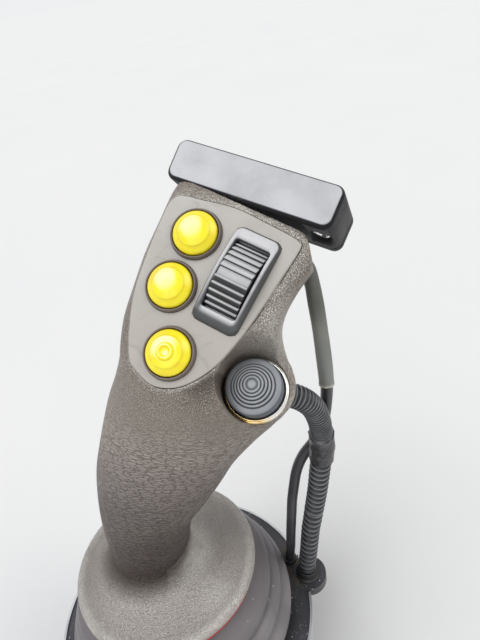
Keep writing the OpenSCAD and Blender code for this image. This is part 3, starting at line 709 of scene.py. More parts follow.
def plate_finish():
    """Black plate with brown dirt round the place where the cords go in."""
    finish = Finish("plate_black", tone(50, 50, 55), 0.45)
    pale_patches = finish.cloud(40, 6, 0.35, 0.7)
    body = finish.blend(pale_patches, tone(48, 48, 53), tone(68, 68, 74))
    close = finish.ramp(finish.near(EARTH_AT), 0.003, 0.02, 1, 0)
    earth = finish.times(close, finish.cloud(420, 6, 0.4, 0.6))
    body = finish.blend(earth, body, tone(84, 72, 56))
    grit = finish.cells(1 / (1.5 * MM), "F1", finish.bent(0.002, 300))
    grit = finish.times(finish.ramp(grit, 0.12, 0.2, 1, 0), finish.cloud(150, 4, 0.5, 0.6))
    body = finish.blend(grit, body, tone(150, 146, 140))
    finish.colour(flecks(finish, body, tone(206, 204, 200), 3.6, 0.4, 0.44))
    finish.rough(finish.mixed(earth, finish.cloud(80, 4, 0.3, 0.7, 0.34, 0.48), 0.85))
    finish.bump(finish.times(earth, finish.noise(900, 4)), 0.25)
    finish.bump(finish.noise(1500, 3), 0.03)
    return finish.material


plate_black = plate_finish()
report(plate_black)
print("all finishes:", len(bpy.data.materials))

# %% [markdown]
# ## Turned and lofted pieces
#
# Many pieces are round: the palm rest, the bellows, the caps, the knob. Each is a profile turned
# about an axis. The profile's corners carry a radius, which the next helper draws as a short arc,
# because no moulded edge is sharp.


# %% A profile with rounded corners
def rounded_path(corners, steps=5, closed=False):
    """Corners are (across, up, radius). Each is replaced by a small curve."""
    out = []
    count = len(corners)
    for i, (x, y, radius) in enumerate(corners):
        here = np.array([x, y], float)
        if radius == 0 or (not closed and i in (0, count - 1)):
            out.append(here)
            continue
        before = np.array(corners[i - 1][:2], float) - here
        after = np.array(corners[(i + 1) % count][:2], float) - here
        reach = min(radius, 0.49 * np.linalg.norm(before), 0.49 * np.linalg.norm(after))
        a = here + before / np.linalg.norm(before) * reach
        b = here + after / np.linalg.norm(after) * reach
        for t in np.linspace(0, 1, steps):
            out.append(a * (1 - t) ** 2 + 2 * here * t * (1 - t) + b * t ** 2)
    return np.array(out)


print("a corner of radius 2:", np.round(rounded_path([(0, 0, 0), (9, 0, 2), (9, 9, 0)], 3), 2).tolist())

# %% [markdown]
# Blender's Screw modifier turns a profile too, but each profile would need an object of its own
# first. Writing the rings of points and the faces between them is as short, and it serves twice:
# a turned piece has its rings about an axis, and a lofted one has any rings, one after the other.
# Both merge what coincides and turn their faces outwards.


# %% Turning and lofting
def piece(name, mesh, finish):
    obj = bpy.data.objects.new(name, mesh)
    bpy.context.scene.collection.objects.link(obj)
    mesh.materials.clear()
    mesh.materials.append(finish)
    return obj


def mesh_from(shape, name):
    """Makes a bmesh a mesh of its own and lets the bmesh go."""
    mesh = bpy.data.meshes.new(name)
    shape.to_mesh(mesh)
    shape.free()
    return mesh


def mesh_of(name, points, faces, place=None):
    """A closed mesh with its normals out, its points given in millimetres."""
    shape = bmesh.new()
    corners = [shape.verts.new(Vector(p) * MM) for p in points]
    for face in faces:
        shape.faces.new([corners[i] for i in face])
    bmesh.ops.remove_doubles(shape, verts=shape.verts, dist=1e-7)
    bmesh.ops.recalc_face_normals(shape, faces=shape.faces)
    if place is not None:
        bmesh.ops.transform(shape, matrix=place, verts=shape.verts)
    for face in shape.faces:
        face.smooth = True
    return mesh_from(shape, name)


def turned(name, profile, finish, place=None, around=96, closed=True):
    """A piece turned about Z from (radius, height) points. An open profile ends on the axis."""
    points = []
    rings = []
    for radius, height in profile:
        if radius < 1e-6:
            rings.append([len(points)] * around)
            points.append((0, 0, height))
            continue
        rings.append(list(range(len(points), len(points) + around)))
        for k in range(around):
            angle = 2 * math.pi * k / around
            points.append((radius * math.cos(angle), radius * math.sin(angle), height))
    pairs = list(zip(rings, rings[1:])) + ([(rings[-1], rings[0])] if closed else [])
    faces = []
    for low, high in pairs:
        for k in range(around):
            nxt = (k + 1) % around
            corners = [low[k], low[nxt], high[nxt], high[k]]
            faces.append(list(dict.fromkeys(corners)))
    return piece(name, mesh_of(name, points, [f for f in faces if len(f) > 2], place), finish)


def lofted(name, rings, finish, place=None):
    """A closed piece through rings of points, with flat ends."""
    count = len(rings[0])
    points = [p for ring in rings for p in ring]
    faces = []
    for k in range(len(rings) - 1):
        for i in range(count):
            j = (i + 1) % count
            faces.append((k * count + i, k * count + j, (k + 1) * count + j, (k + 1) * count + i))
    faces.append(tuple(range(count)))
    faces.append(tuple(len(points) - count + i for i in range(count)))
    return piece(name, mesh_of(name, points, faces, place), finish)


print("shape helpers ready, meshes so far:", len(bpy.data.meshes))

# %% [markdown]
# ## The frame of the head
#
# The head's flat face leans back 44 degrees and turns 31 degrees to the right. Nothing on it could
# be drawn well in the room's own axes. So its pieces are drawn flat, as across, up and out, and one
# matrix carries them to their place. The side knob leans 9.5 degrees more, so it has a second one.

# %% Places on the head
FACE_MIDDLE = Vector((59.3, 8.1, 205.3))
FACE_TILT = math.radians(44.2)
FACE_TURN = math.radians(30.6)
KNOB_TILT = math.radians(9.5)
KNOB_AT = (18.5, -27.4, -9.9)
BUTTONS = [(-20.5, 8.2), (-19.3, -11.4), (-8.4, -31.3)]
face_turn = Matrix.Rotation(FACE_TILT, 3, "X") @ Matrix.Rotation(-FACE_TURN, 3, "Z")
FACE_U, FACE_V, FACE_N = (face_turn @ Vector(axis) for axis in ((1, 0, 0), (0, 1, 0), (0, 0, 1)))


def on_face(across, up, out=0.0):
    return FACE_MIDDLE + FACE_U * across + FACE_V * up + FACE_N * out


def at_face(across, up, out=0.0):
    return Matrix.Translation(on_face(across, up, out) * MM) @ face_turn.to_4x4()


def at_knob():
    """The side knob's own frame, which leans a little from the face's."""
    lean = (Matrix.Rotation(FACE_TURN, 4, "Z") @ Matrix.Rotation(-KNOB_TILT, 4, "X")
            @ Matrix.Rotation(-FACE_TURN, 4, "Z"))
    return at_face(*KNOB_AT) @ lean


print("out of the face:", [round(c, 3) for c in FACE_N])

# %% [markdown]
# ## The grip and the palm rest
#
# One leather-grained skin runs from the palm rest up to the head. It could be sculpted by hand, but
# then it would not match the solid. So it is lofted through a short table of sections, each a
# rounded square between a front point and a back point. The sections of the head lie in the head's
# own frame. The palm rest and the boss under the knob come next, as bodies of their own.

# %% Sections of the grip
# Columns: front x, y, z, back x, y, z, half width, squareness, widening to the front, turn.
GRIP_SECTIONS = [
    (-7.2, -26.2, 55.5, -7.2, 32.6, 55.5, 29.8, 2, 0, 0),
    (-7.2, -25, 56.8, -7.2, 31.4, 56.8, 28.6, 2, 0, 0),
    (-7.2, -22.6, 57.7, -7.2, 29.1, 57.7, 26.2, 2, 0, 0),
    (-7.2, -19.6, 58.1, -7.2, 26.7, 58.1, 23, 2, 0, 0),
    (-7.1, -17.9, 58.8, -7.1, 25.2, 58.8, 21.3, 2, 0, 0),
    (-6.9, -16.7, 60.2, -6.9, 24.3, 60.2, 20.1, 2, 0, 0),
    (-6.4, -15.8, 63, -6.4, 23.6, 63, 19.3, 2, 0, 0),
    (-5.6, -15.2, 68, -5.6, 23.5, 67, 19.2, 2.1, 0, 0),
    (-4.1, -15, 80, -3.6, 23.8, 78, 20.6, 2.2, 0, 0.1),
    (-1, -15, 93, -0.8, 24.4, 90, 22.4, 2.2, 0, 0.2),
    (3.9, -15, 106, 4.4, 25.2, 101, 25.3, 2.2, 0, 0.3),
    (9.4, -15, 120, 10.4, 26.4, 112, 27.7, 2.2, 0, 0.4),
    (15.1, -15.3, 134, 18.1, 27.8, 123, 28.6, 2.3, 0, 0.5),
    (20.2, -16, 147, 25.2, 29.2, 132.5, 28.9, 2.4, 0, 0.65),
    (25.1, -16.8, 159, 31.6, 30.6, 141, 28.6, 2.5, 0.02, 0.8),
    (30, -17.2, 170, 38, 32, 148.5, 27.6, 2.6, 0.04, 0.9),
    (33.5, -17, 179, 42.5, 33.2, 154.8, 26.6, 2.8, 0.06, 1),
]
# Columns: up the face, middle across, half width, depth, pitch, squareness, widening.
HEAD_SECTIONS = [
    (-40, -4, 26.4, 51, 22, 3.2, 0.08),
    (-30, -5.4, 27.8, 46, 16, 3.5, 0.1),
    (-18, -7.3, 27.7, 41, 11, 3.8, 0.1),
    (-5, -10, 26.6, 36, 6, 4.2, 0.1),
    (8, -10.2, 27, 32, 2, 4.5, 0.1),
    (19, -9.3, 27.9, 29, 0, 5.5, 0.1),
    (24.5, -9.1, 27.3, 27, 0, 5.5, 0.1),
]


def section_ring(middle, side, depth, squareness, widening, count=120):
    angles = np.linspace(0, 2 * np.pi, count, endpoint=False)
    c, s = np.cos(angles), np.sin(angles)
    x = np.sign(c) * np.abs(c) ** (2 / squareness)
    y = np.sign(s) * np.abs(s) ** (2 / squareness)
    return middle + np.outer(x * (1 - widening * y), side) + np.outer(y, depth)


def grip_rings():
    rings = []
    for s in GRIP_SECTIONS:
        front, back = np.array(s[0:3], float), np.array(s[3:6], float)
        side = np.array(Vector((1, 0, 0)).lerp(FACE_U, s[9]).normalized()) * s[6]
        rings.append(section_ring((front + back) / 2, side, (back - front) / 2, s[7], s[8]))
    for up, across, half, depth, pitch, squareness, widening in HEAD_SECTIONS:
        angle = math.radians(pitch)
        back = np.array(FACE_V * math.sin(angle) - FACE_N * math.cos(angle)) * depth
        middle = np.array(on_face(across, up)) + back / 2
        rings.append(section_ring(middle, np.array(FACE_U) * half, back / 2, squareness, widening))
    return rings


# The same spline that smooths the cords gives three more rings between each two sections.
grip_core = lofted("grip_core", spline(grip_rings(), 4), grip_grain)
print("grip core faces:", len(grip_core.data.polygons))

# %% [markdown]
# ### The palm rest and the knob's boss
#
# The palm rest is a turned dish with a rolled lip, and its middle is hidden in the column. The knob
# stands on a boss that flows into the grip. The boss is the hull of its round mouth and a ball deep
# in the grip, which gives such a flowing shape without any drawing. There are two balls, because
# the boss runs out to the head and to the column.

# %% The palm rest and the boss under the knob
PALM_R = 45
PALM_RIM_Z = 57.5
PALM_SEAT_Z = 55.5
palm_profile = rounded_path([
    (8, 51.5, 0), (PALM_R - 2, 51.5, 1.5), (PALM_R, 54.2, 3), (PALM_R - 1.8, PALM_RIM_Z + 0.3, 2.4),
    (PALM_R - 7, PALM_SEAT_Z + 0.4, 4), (30, PALM_SEAT_Z + 0.5, 3), (8, PALM_SEAT_Z + 3, 0),
], 8)
palm_core = turned("palm_core", palm_profile, grip_grain)

# Columns: radius, height, and how far the circle lies across and up from the knob's axis.
BOSS_CIRCLES = [(11.4, -9.4, 0.9, 2), (12.1, -9.8, 0.9, 2), (12.35, -10.7, 0.9, 2),
                (12.35, -11.5, 0.9, 2), (12.35, -15.5, -0.3, 1)]
# Columns: middle across, up and out in the knob's own frame, and radius.
BOSS_BALLS = [(-9.1, 13.5, -16, 11), (-13.5, -20, -36, 14)]


def boss(name, ball, finish):
    """The hull of the boss's mouth and a ball deep in the grip."""
    shape = bmesh.new()
    for k in range(48):
        angle = 2 * math.pi * k / 48
        c, s = math.cos(angle), math.sin(angle)
        for radius, height, across, up in BOSS_CIRCLES:
            shape.verts.new(Vector((across + radius * c, up + radius * s, height)) * MM)
    bmesh.ops.create_icosphere(shape, subdivisions=4, radius=ball[3] * MM,
                               matrix=Matrix.Translation(Vector(ball[:3]) * MM))
    wrap = bmesh.ops.convex_hull(shape, input=shape.verts)
    bmesh.ops.delete(shape, geom=list(set(wrap["geom_interior"] + wrap["geom_unused"])), context="VERTS")
    bmesh.ops.recalc_face_normals(shape, faces=shape.faces)
    bmesh.ops.transform(shape, matrix=at_knob(), verts=shape.verts)
    return piece(name, mesh_from(shape, name), finish)


boss_cores = [boss(f"boss_{i}", ball, grip_grain) for i, ball in enumerate(BOSS_BALLS)]
print("bodies of the boss:", [core.name for core in boss_cores])

# %% [markdown]
# ### One skin
#
# The real grip is a single moulding, so the column, the palm rest and the boss must not show where
# they cross. A boolean union would leave hard creases between them. A voxel remesh lays one even
# skin round all of them, and a little smoothing starts the fillets that a mould has.


# %% One skin from four bodies
def merged_mesh(obj):
    """The object's mesh with all its modifiers applied."""
    graph = bpy.context.evaluated_depsgraph_get()
    return bpy.data.meshes.new_from_object(obj.evaluated_get(graph))


def joined(name, parts):
    """Several pieces as one object, with the first one's finish."""
    shape = bmesh.new()
    for part in parts:
        shape.from_mesh(part.data)
    made = piece(name, mesh_from(shape, name), parts[0].data.materials[0])
    for part in parts:
        bpy.data.objects.remove(part)
    return made


def one_skin(name, parts, voxel, rounds):
    """Overlapping closed pieces as one smooth skin."""
    skin = joined(name, parts)
    remesh = skin.modifiers.new("one_skin", "REMESH")
    remesh.mode = "VOXEL"
    remesh.voxel_size = voxel * MM
    smooth = skin.modifiers.new("fillets", "SMOOTH")
    smooth.factor = 0.5
    smooth.iterations = rounds
    mesh = merged_mesh(skin)
    skin.modifiers.clear()
    skin.data = mesh
    return skin


VOXEL = 0.9
grip = one_skin("grip", [grip_core, palm_core] + boss_cores, VOXEL, 10)
print("faces of the skin:", len(grip.data.polygons))

# %% [markdown]
# ### Soft transitions
#
# Hands slide over the grip, so the boss and the palm rest run into the column in wide curves. More
# smoothing of the whole skin would also melt the head's edges. So each vertex gets a weight, by its
# distance from the knob's axis or from the column, and only the weighted ones are relaxed towards
# their neighbours.


# %% Relaxing the skin by weights
def local_points(mesh, place=None):
    """The mesh's vertices in millimetres, in the frame that a matrix places."""
    points = np.empty(len(mesh.vertices) * 3, np.float32)
    mesh.vertices.foreach_get("co", points)
    points = points.reshape(-1, 3).astype(float)
    if place is not None:
        back = np.array(place.inverted())
        points = points @ back[:3, :3].T + back[:3, 3]
    return points / MM


def set_points(mesh, points, place=None):
    """Gives the vertices back: the other way round from local_points."""
    points = points * MM
    if place is not None:
        there = np.array(place)
        points = points @ there[:3, :3].T + there[:3, 3]
    mesh.vertices.foreach_set("co", points.astype(np.float32).ravel())
    mesh.update()


def step(value, low, high):
    """0 below low and 1 above high, with a smooth way between."""
    t = np.clip((value - low) / (high - low), 0, 1)
    return t * t * (3 - 2 * t)


def soften(mesh, weights, rounds):
    """Relaxes the marked vertices towards their neighbours."""
    ends = np.empty(len(mesh.edges) * 2, np.int32)
    mesh.edges.foreach_get("vertices", ends)
    a, b = ends[0::2], ends[1::2]
    points = local_points(mesh)
    degree = np.maximum(np.bincount(ends, minlength=len(points)), 1)[:, None]
    for _ in range(rounds):
        around = np.zeros_like(points)
        for k in range(3):
            around[:, k] += np.bincount(a, points[b, k], len(points))
            around[:, k] += np.bincount(b, points[a, k], len(points))
        points += 0.5 * weights[:, None] * (around / degree - points)
    set_points(mesh, points)


COLUMN_FOOT = (-7.2, 3.2)
MOUTH_MIDDLE = np.array([0.9, 2, -9.6])


def from_column(points):
    """How far points lie from the upright line through the column's foot."""
    return np.hypot(points[:, 0] - COLUMN_FOOT[0], points[:, 1] - COLUMN_FOOT[1])


level = local_points(grip.data)
at_mouth = local_points(grip.data, at_knob()) - MOUTH_MIDDLE
from_knob = np.hypot(at_mouth[:, 0], at_mouth[:, 1])
under_face = -local_points(grip.data, at_face(0, 0))[:, 2]
at_boss = step(from_knob, 12.6, 15) * (1 - step(from_knob, 26, 36)) * step(under_face, 0.3, 1.5)
in_lip = 1 - step(np.hypot(level[:, 0], level[:, 1]), 37, 39.5)
at_skirt = step(from_column(level), 17, 21) * in_lip * (level[:, 2] > 53) * (level[:, 2] < 64)
soften(grip.data, np.maximum(at_boss, 0.3 * at_skirt), 90)
print("vertices softened:", int((at_boss > 0.1).sum()), "at the boss,", int((at_skirt > 0.1).sum()),
      "at the palm rest")

# %% [markdown]
# ### The head's round corner
#
# A loft of rounded squares leaves the head's upper right corner sharper than the real one. Another
# row in the table would bend the whole head. So the points outside an ellipse in that one corner
# are drawn in to it, in the head's own frame.

# %% Rounding the corner
# Half axes of the ellipse, across and up.
CORNER = np.array([11, 16])
on_head = local_points(grip.data, at_face(0, 0))
high = on_head[:, 1] > 14
corner_middle = np.array([on_head[high, 0].max(), on_head[high, 1].max()]) - CORNER
from_middle = on_head[:, :2] - corner_middle
away = np.hypot(from_middle[:, 0] / CORNER[0], from_middle[:, 1] / CORNER[1])
outside = (from_middle.min(1) > 0) & (away > 1)
on_head[outside, :2] = corner_middle + from_middle[outside] / away[outside][:, None]
set_points(grip.data, on_head, at_face(0, 0))
print("head's corner at", np.round(corner_middle + CORNER, 1), "points moved:", int(outside.sum()))

# %% [markdown]
# ### Pockets in the grip
#
# The face plate, the roller and the knob sit in pockets. Pockets modelled in the loft would be
# blurred by the voxels. So they are cut afterwards, with solids drawn in the face's own frame, and
# the plate's seam stays a crisp line. Above its ring the knob's pocket opens out like a funnel,
# and the channel that it leaves in the grip's flank is softened, as in the moulding.

# %% Cutting the pockets
FACE_OUTLINE = [
    (-34.2, 17.1), (-23.8, 20.1), (-12.1, 22.1), (-1.2, 21.8), (8, 21.3), (12.1, 20.6), (13.7, 18.5),
    (12.5, 5), (11.3, -8.4), (9.6, -19), (6.9, -28.7), (2.6, -36.3), (-2.5, -41), (-9.2, -43.1),
    (-16.9, -41.1), (-20.6, -38.5), (-24.9, -31.3), (-29.6, -20.9), (-32.4, -9.2), (-34.6, 6.2),
]
FACE_T = 2


def grown(loop, amount):
    """A closed loop moved outwards by amount, or inwards where it is negative."""
    along = np.roll(loop, -1, 0) - np.roll(loop, 1, 0)
    normal = np.stack([along[:, 1], -along[:, 0]], 1)
    normal /= np.linalg.norm(normal, axis=1)[:, None]
    area = np.sum(loop[:, 0] * np.roll(loop[:, 1], -1) - np.roll(loop[:, 0], -1) * loop[:, 1])
    return loop + normal * amount * (1 if area > 0 else -1)


def prism(name, loop, low, high, finish, place):
    rings = [[(x, y, z) for x, y in loop] for z in (low, high)]
    return lofted(name, rings, finish, place)


def cut(obj, cutters):
    for cutter in cutters:
        knife = obj.modifiers.new("cut", "BOOLEAN")
        knife.operation = "DIFFERENCE"
        knife.solver = "EXACT"
        knife.object = cutter
    mesh = merged_mesh(obj)
    obj.modifiers.clear()
    obj.data = mesh
    for cutter in cutters:
        bpy.data.objects.remove(cutter)


face_loop = spline(FACE_OUTLINE, 4, closed=True)
ROLLER_POCKET = np.array([(-8.3, -16.2), (8.3, -16.2), (8.3, 16.2), (-8.3, 16.2)])
KNOB_POCKET_R = 11.9
# From the first height up, the knob's pocket moves across and up and grows in radius. At the second
# height it has done so by these amounts, and above that it goes on.
FLARE_FROM, FLARE_TO = -8.5, 8
POCKET_FLARE = (4, 2, 3.1)


def knob_pocket_ring(z, count=96):
    flare = max(0, (z - FLARE_FROM) / (FLARE_TO - FLARE_FROM))
    x, y, grown_by = (flare * amount for amount in POCKET_FLARE)
    radius = KNOB_POCKET_R + grown_by
    angles = [2 * math.pi * k / count for k in range(count)]
    return [(x + radius * math.cos(a), y + radius * math.sin(a), z) for a in angles]


pocket_rings = [knob_pocket_ring(z) for z in [-15.5, *range(-9, 14), 20]]
cut(grip, [
    prism("face_pocket", grown(face_loop, 0.3), -FACE_T, 15, grip_grain, at_face(0, 0)),
    prism("roller_pocket", ROLLER_POCKET, -4, 5, grip_grain, at_face(0, 0)),
    turned("drum_pocket", [(0, -6.7), (17, -6.7), (17, 6.7), (0, 6.7)], grip_grain,
           at_face(0, 0, -10.6) @ Matrix.Rotation(math.pi / 2, 4, "Y"), closed=False),
    lofted("knob_pocket", pocket_rings, grip_grain, at_knob()),
])
over_knob = local_points(grip.data, at_knob())
under_face = -local_points(grip.data, at_face(0, 0))[:, 2]
near_knob = 1 - step(np.hypot(over_knob[:, 0], over_knob[:, 1]), 18, 22)
channel = near_knob * step(over_knob[:, 2], -7.5, -5) * step(under_face, FACE_T + 0.1, FACE_T + 1.5)
soften(grip.data, channel, 25)
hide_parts("grip_body", "palm_rest")
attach(grip, "lever")
print("grip faces after the pockets:", len(grip.data.polygons))

# %% [markdown]
# ### Where hands have been, and painted light and shade
#
# The leather is pale along the plate's seam, on the palm rest's lip and dish, on the column's
# skirt, round the knob's mouth and above it: worn at the seam's edge and round the mouth, and
# elsewhere a painted highlight that stands in for light. Painted shade darkens the foot of the
# column and the hollow beside the knob. A painted picture would need unwrapping. Instead each
# vertex stores a number, worked out from its distance to such a place, and the finish reads it.


# %% Where the skin is worn, highlighted and shaded
def paint(mesh, name, values):
    """Stores one number for each vertex, for a finish to read."""
    layer = mesh.attributes.new(name, "FLOAT", "POINT")
    layer.data.foreach_set("value", np.asarray(values, np.float32))


def distance_to_loop(points, loop):
    """Distance of flat points to a closed line."""
    best = np.full(len(points), 1e9)
    for a, b in zip(loop, np.roll(loop, -1, 0)):
        along = b - a
        t = np.clip(((points - a) @ along) / max(along @ along, 1e-9), 0, 1)
        best = np.minimum(best, np.linalg.norm(points - (a + t[:, None] * along), axis=1))
    return best


def hill(distance, width):
    """1 where the distance is 0, falling off smoothly over the width."""
    return np.exp(-(distance / width) ** 2)


on_head = local_points(grip.data, at_face(0, 0))
level = local_points(grip.data)
to_seam = distance_to_loop(on_head[:, :2], face_loop)
column = from_column(level)
# Each point in three frames: in the head's face, in the knob's mouth, and level with the room.
across, up, out = on_head.T
beside, above, off = (local_points(grip.data, at_knob()) - MOUTH_MIDDLE).T
x, y, z = level.T
seam_line = 0.7 * hill(to_seam, 1.2) + 0.8 * step(across + up, -4, 14) * hill(to_seam, 4)
# Pale places: wear along the seam's edge and round the knob's mouth; painted highlights on the seam's
# band at the top and right, the palm rest's lip and dish, the column's skirt and above the knob; left of
# the plate the skin is only made paler.
wear_and_highlight_places = {
    "plate's seam": np.clip(seam_line, 0, 1) * (out > -4),
    "left of the plate": (0.55 * step(-across, 12, 20) * hill(to_seam, 3) * (out > -6)
                          * step(up, -26, -18)),
    "palm rest's lip": 0.55 * hill(np.hypot(x, y) - 42, 2) * (z > 55.8) * (z < 60),
    "palm rest's dish": 0.4 * hill(np.hypot(x - 28, y + 16), 9) * (z > 54) * (z < 62),
    "column's skirt": hill(column - 25, 5) * (z < 66) * (z > 54) * hill(y - 6, 16) * (x > 5),
    "knob's mouth": 0.8 * hill(np.hypot(np.hypot(beside, above) - 12, off), 1.1),
    "above the knob": 0.95 * hill(np.hypot(beside - 1, above - 18), 13) * step(above, 2, 8),
}
# Painted shade: the hollow beside the knob and the foot of the column are darkened.
shaded_places = {
    "beside the knob": (0.95 * hill(np.hypot(beside + 14, above + 9), 7.5) * step(off, -34, -24)
                        * (to_seam > 1)),
    "foot of the column": 0.85 * (1 - step(column, 19, 29)) * (z < 66) * step(-y - 0.5 * x, -8, 8),
}
paint(grip.data, "wear_and_highlight", np.max(list(wear_and_highlight_places.values()), axis=0))
paint(grip.data, "painted_shade", np.max(list(shaded_places.values()), axis=0))
paint(grip.data, "coarse", step(across + 0.3 * up, 0, 14) * step(z, 158, 172))
for place, amount in {**wear_and_highlight_places, **shaded_places}.items():
    print(f"{place}: {int((amount > 0.3).sum())} vertices")

# %% [markdown]
# ### The face plate
#
# The plate fills its pocket, which is a little wider and so leaves the fine seam round it. It has
# holes for the button collars and the roller. It could be cut with booleans, but a flat curve with
# several loops gives the plate and its holes in one go, and the curve's own bevel rounds each edge.


# %% A flat plate with holes
def flat_plate(name, loops, thickness, bevel, finish, place):
    """A plate from closed loops. The first is the outside and the others are holes."""
    curve = bpy.data.curves.new(name, "CURVE")
    curve.dimensions = "2D"
    curve.fill_mode = "BOTH"
    curve.extrude = (thickness / 2 - bevel) * MM
    curve.bevel_depth = bevel * MM
    curve.bevel_resolution = 3
    curve.offset = -bevel * MM
    for loop in loops:
        spline = curve.splines.new("POLY")
        spline.points.add(len(loop) - 1)
        for point, (x, y) in zip(spline.points, loop):
            point.co = (x * MM, y * MM, 0, 1)
        spline.use_cyclic_u = True
    drawn = bpy.data.objects.new(name + "_curve", curve)
    bpy.context.scene.collection.objects.link(drawn)
    mesh = merged_mesh(drawn)
    bpy.data.objects.remove(drawn)
    shape = bmesh.new()
    shape.from_mesh(mesh)
    bmesh.ops.remove_doubles(shape, verts=shape.verts, dist=1e-6)
    bmesh.ops.recalc_face_normals(shape, faces=shape.faces)
    bmesh.ops.transform(shape, matrix=place @ Matrix.Translation((0, 0, -thickness / 2 * MM)),
                        verts=shape.verts)
    shape.to_mesh(mesh)
    shape.free()
    return piece(name, mesh, finish)


def circle_loop(x, y, radius, count=48):
    angles = np.linspace(0, 2 * np.pi, count, endpoint=False)
    return np.stack([x + radius * np.cos(angles), y + radius * np.sin(angles)], 1)


COLLAR_R = 9.05
plate_loops = [face_loop, ROLLER_POCKET]
plate_loops += [circle_loop(x, y, COLLAR_R + 0.02) for x, y in BUTTONS]
face_plate = flat_plate("face_plate_skin", plate_loops, FACE_T, 0.35, face_matt, at_face(0, 0, 0.25))
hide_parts("face_plate")
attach(face_plate, "lever")
print("face plate faces:", len(face_plate.data.polygons))

# %% [markdown]
# ## Buttons
#
# Each button is a domed cap in a dark collar, and the thumb presses it 1.5 mm in, so cap and collar
# are two pieces on two bodies. Both are round, and a turned profile gives the shoulder and the dome
# with true curves. The lowest cap has a small raised ring in its middle, so that the thumb finds it.

# %% Caps and collars
CAP_R = 7.8
collar_profile = rounded_path([
    (8.1, -8, 0), (8.1, 1.5, 0.3), (8.35, 2.0, 0.3), (8.75, 1.9, 0.3), (9.05, 0.3, 0.3), (9.05, -8, 0),
], 4)
CAP_SIDE = [(0, -5.9, 0), (CAP_R, -5.9, 0.3), (CAP_R, 2.2, 0.7), (7.1, 2.9, 0.5), (5.75, 3.85, 0.5),
            (5.35, 4.35, 0.4)]
CAP_DOME = [(3.6, 5.0, 1.5), (1.6, 5.2, 1), (0, 5.2, 0)]
CAP_RING = [(3.7, 4.75, 0.4), (3.05, 4.8, 0.25), (2.65, 5.7, 0.35), (1.9, 5.8, 0.35),
            (1.35, 5.15, 0.35), (0, 5.0, 0)]
for number, (x, y) in enumerate(BUTTONS, 1):
    collar = turned(f"collar_{number}", collar_profile, collar_dark, at_face(x, y), 72)
    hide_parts(f"button_collar_{number}")
    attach(collar, "lever")
    profile = rounded_path(CAP_SIDE + (CAP_RING if number == 3 else CAP_DOME), 8)
    cap = turned(f"cap_{number}", profile, button_yellow, at_face(x, y), 72, closed=False)
    at_cap = local_points(cap.data, at_face(x, y))
    radius = np.hypot(at_cap[:, 0], at_cap[:, 1])
    # Rings painted darker: painted shade at the dome's step, and a darker ring at the rim.
    darker_rings = 0.2 * hill(radius - 5.6, 0.3) + 0.5 * hill(radius - 7.75, 0.25)
    paint(cap.data, "darker_rings", darker_rings * (at_cap[:, 2] > 1))
    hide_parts(f"button_cap_{number}")
    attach(cap, f"button_{number}")
print("buttons:", len(BUTTONS))

# %% [markdown]
# ## The thumb roller
#
# The bezel is a satin frame that arches over the drum. It could be a bevelled box with a hole, but
# then its arch would need bending. A stack of rounded rectangles runs from the outside foot over
# the crown and down into the window, and each loop follows the arch by its own share.


# %% The bezel
def rounded_rectangle(width, length, corner, per_corner=8, per_side=8):
    """Points of a rectangle with round corners, the same number for any size."""
    corners = []
    for quarter, (sx, sy) in enumerate(((1, 1), (-1, 1), (-1, -1), (1, -1))):
        for k in range(per_corner):
            angle = math.pi / 2 * (quarter + k / (per_corner - 1))
            corners.append((sx * (width / 2 - corner) + corner * math.cos(angle),
                            sy * (length / 2 - corner) + corner * math.sin(angle)))
    loop = []
    for i, (x, y) in enumerate(corners):
        loop.append((x, y))
        if i % per_corner == per_corner - 1:
            nx, ny = corners[(i + 1) % len(corners)]
            loop += [(x + (nx - x) * t, y + (ny - y) * t) for t in np.arange(1, per_side) / per_side]
    return loop


# Columns: width, length, corner radius, height in the middle, share of the arch that it follows.
BEZEL_LOOPS = [
    (17.5, 35, 3, 0.05, 0), (17.4, 34.9, 3, 0.5, 0.1), (16.7, 34.2, 2.8, 2.9, 1),
    (16.3, 33.8, 2.7, 3.4, 1),
    (15.7, 33.2, 2.5, 3.6, 1), (13.4, 25.6, 1.2, 3.6, 1), (12.9, 25.1, 1, 3.45, 1),
    (12.7, 24.9, 0.9, 3.1, 1), (12.7, 24.9, 0.9, -3, 0),
]
BEZEL_ARCH = 2.4
BEZEL_HALF = 17.5


def frame_from_loops(name, loops, finish, place):
    rings = []
    for width, length, corner, height, share in loops:
        rings.append([(x, y, height - share * BEZEL_ARCH * (y / BEZEL_HALF) ** 2)
                      for x, y in rounded_rectangle(width, length, corner)])
    outer_foot = [(x, y, -3) for x, y, _ in rings[0]]
    rings = [outer_foot] + rings
    count = len(rings[0])
    points = [p for ring in rings for p in ring]
    faces = []
    for k in range(len(rings)):
        up = (k + 1) % len(rings)
        for i in range(count):
            j = (i + 1) % count
            faces.append((k * count + i, k * count + j, up * count + j, up * count + i))
    return piece(name, mesh_of(name, points, faces, place), finish)


bezel = frame_from_loops("bezel", BEZEL_LOOPS, bezel_satin, at_face(0, 0))
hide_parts("roller_bezel")
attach(bezel, "lever")
print("bezel faces:", len(bezel.data.polygons))

# %% [markdown]
# ### The ridges
#
# The roller is a drum with two groups of saw-tooth ridges and a smooth band between them. The teeth
# of each group lean towards the band, so that the thumb catches them both ways. One tooth is
# modelled for each way, and Geometry Nodes set copies of it round the drum, with their number and
# pitch as named inputs. Copying by hand would have to be done again for every other drum.


# %% A tree that sets ridges round a drum
def node_group(name, sockets):
    """A Geometry Nodes tree with named inputs, its input node and its output node."""
    tree = bpy.data.node_groups.new(name, "GeometryNodeTree")
    tree.interface.new_socket("Geometry", in_out="INPUT", socket_type="NodeSocketGeometry")
    tree.interface.new_socket("Geometry", in_out="OUTPUT", socket_type="NodeSocketGeometry")
    for label, kind in sockets:
        tree.interface.new_socket(label, in_out="INPUT", socket_type="NodeSocket" + kind)
    return tree, tree.nodes.new("NodeGroupInput"), tree.nodes.new("NodeGroupOutput")


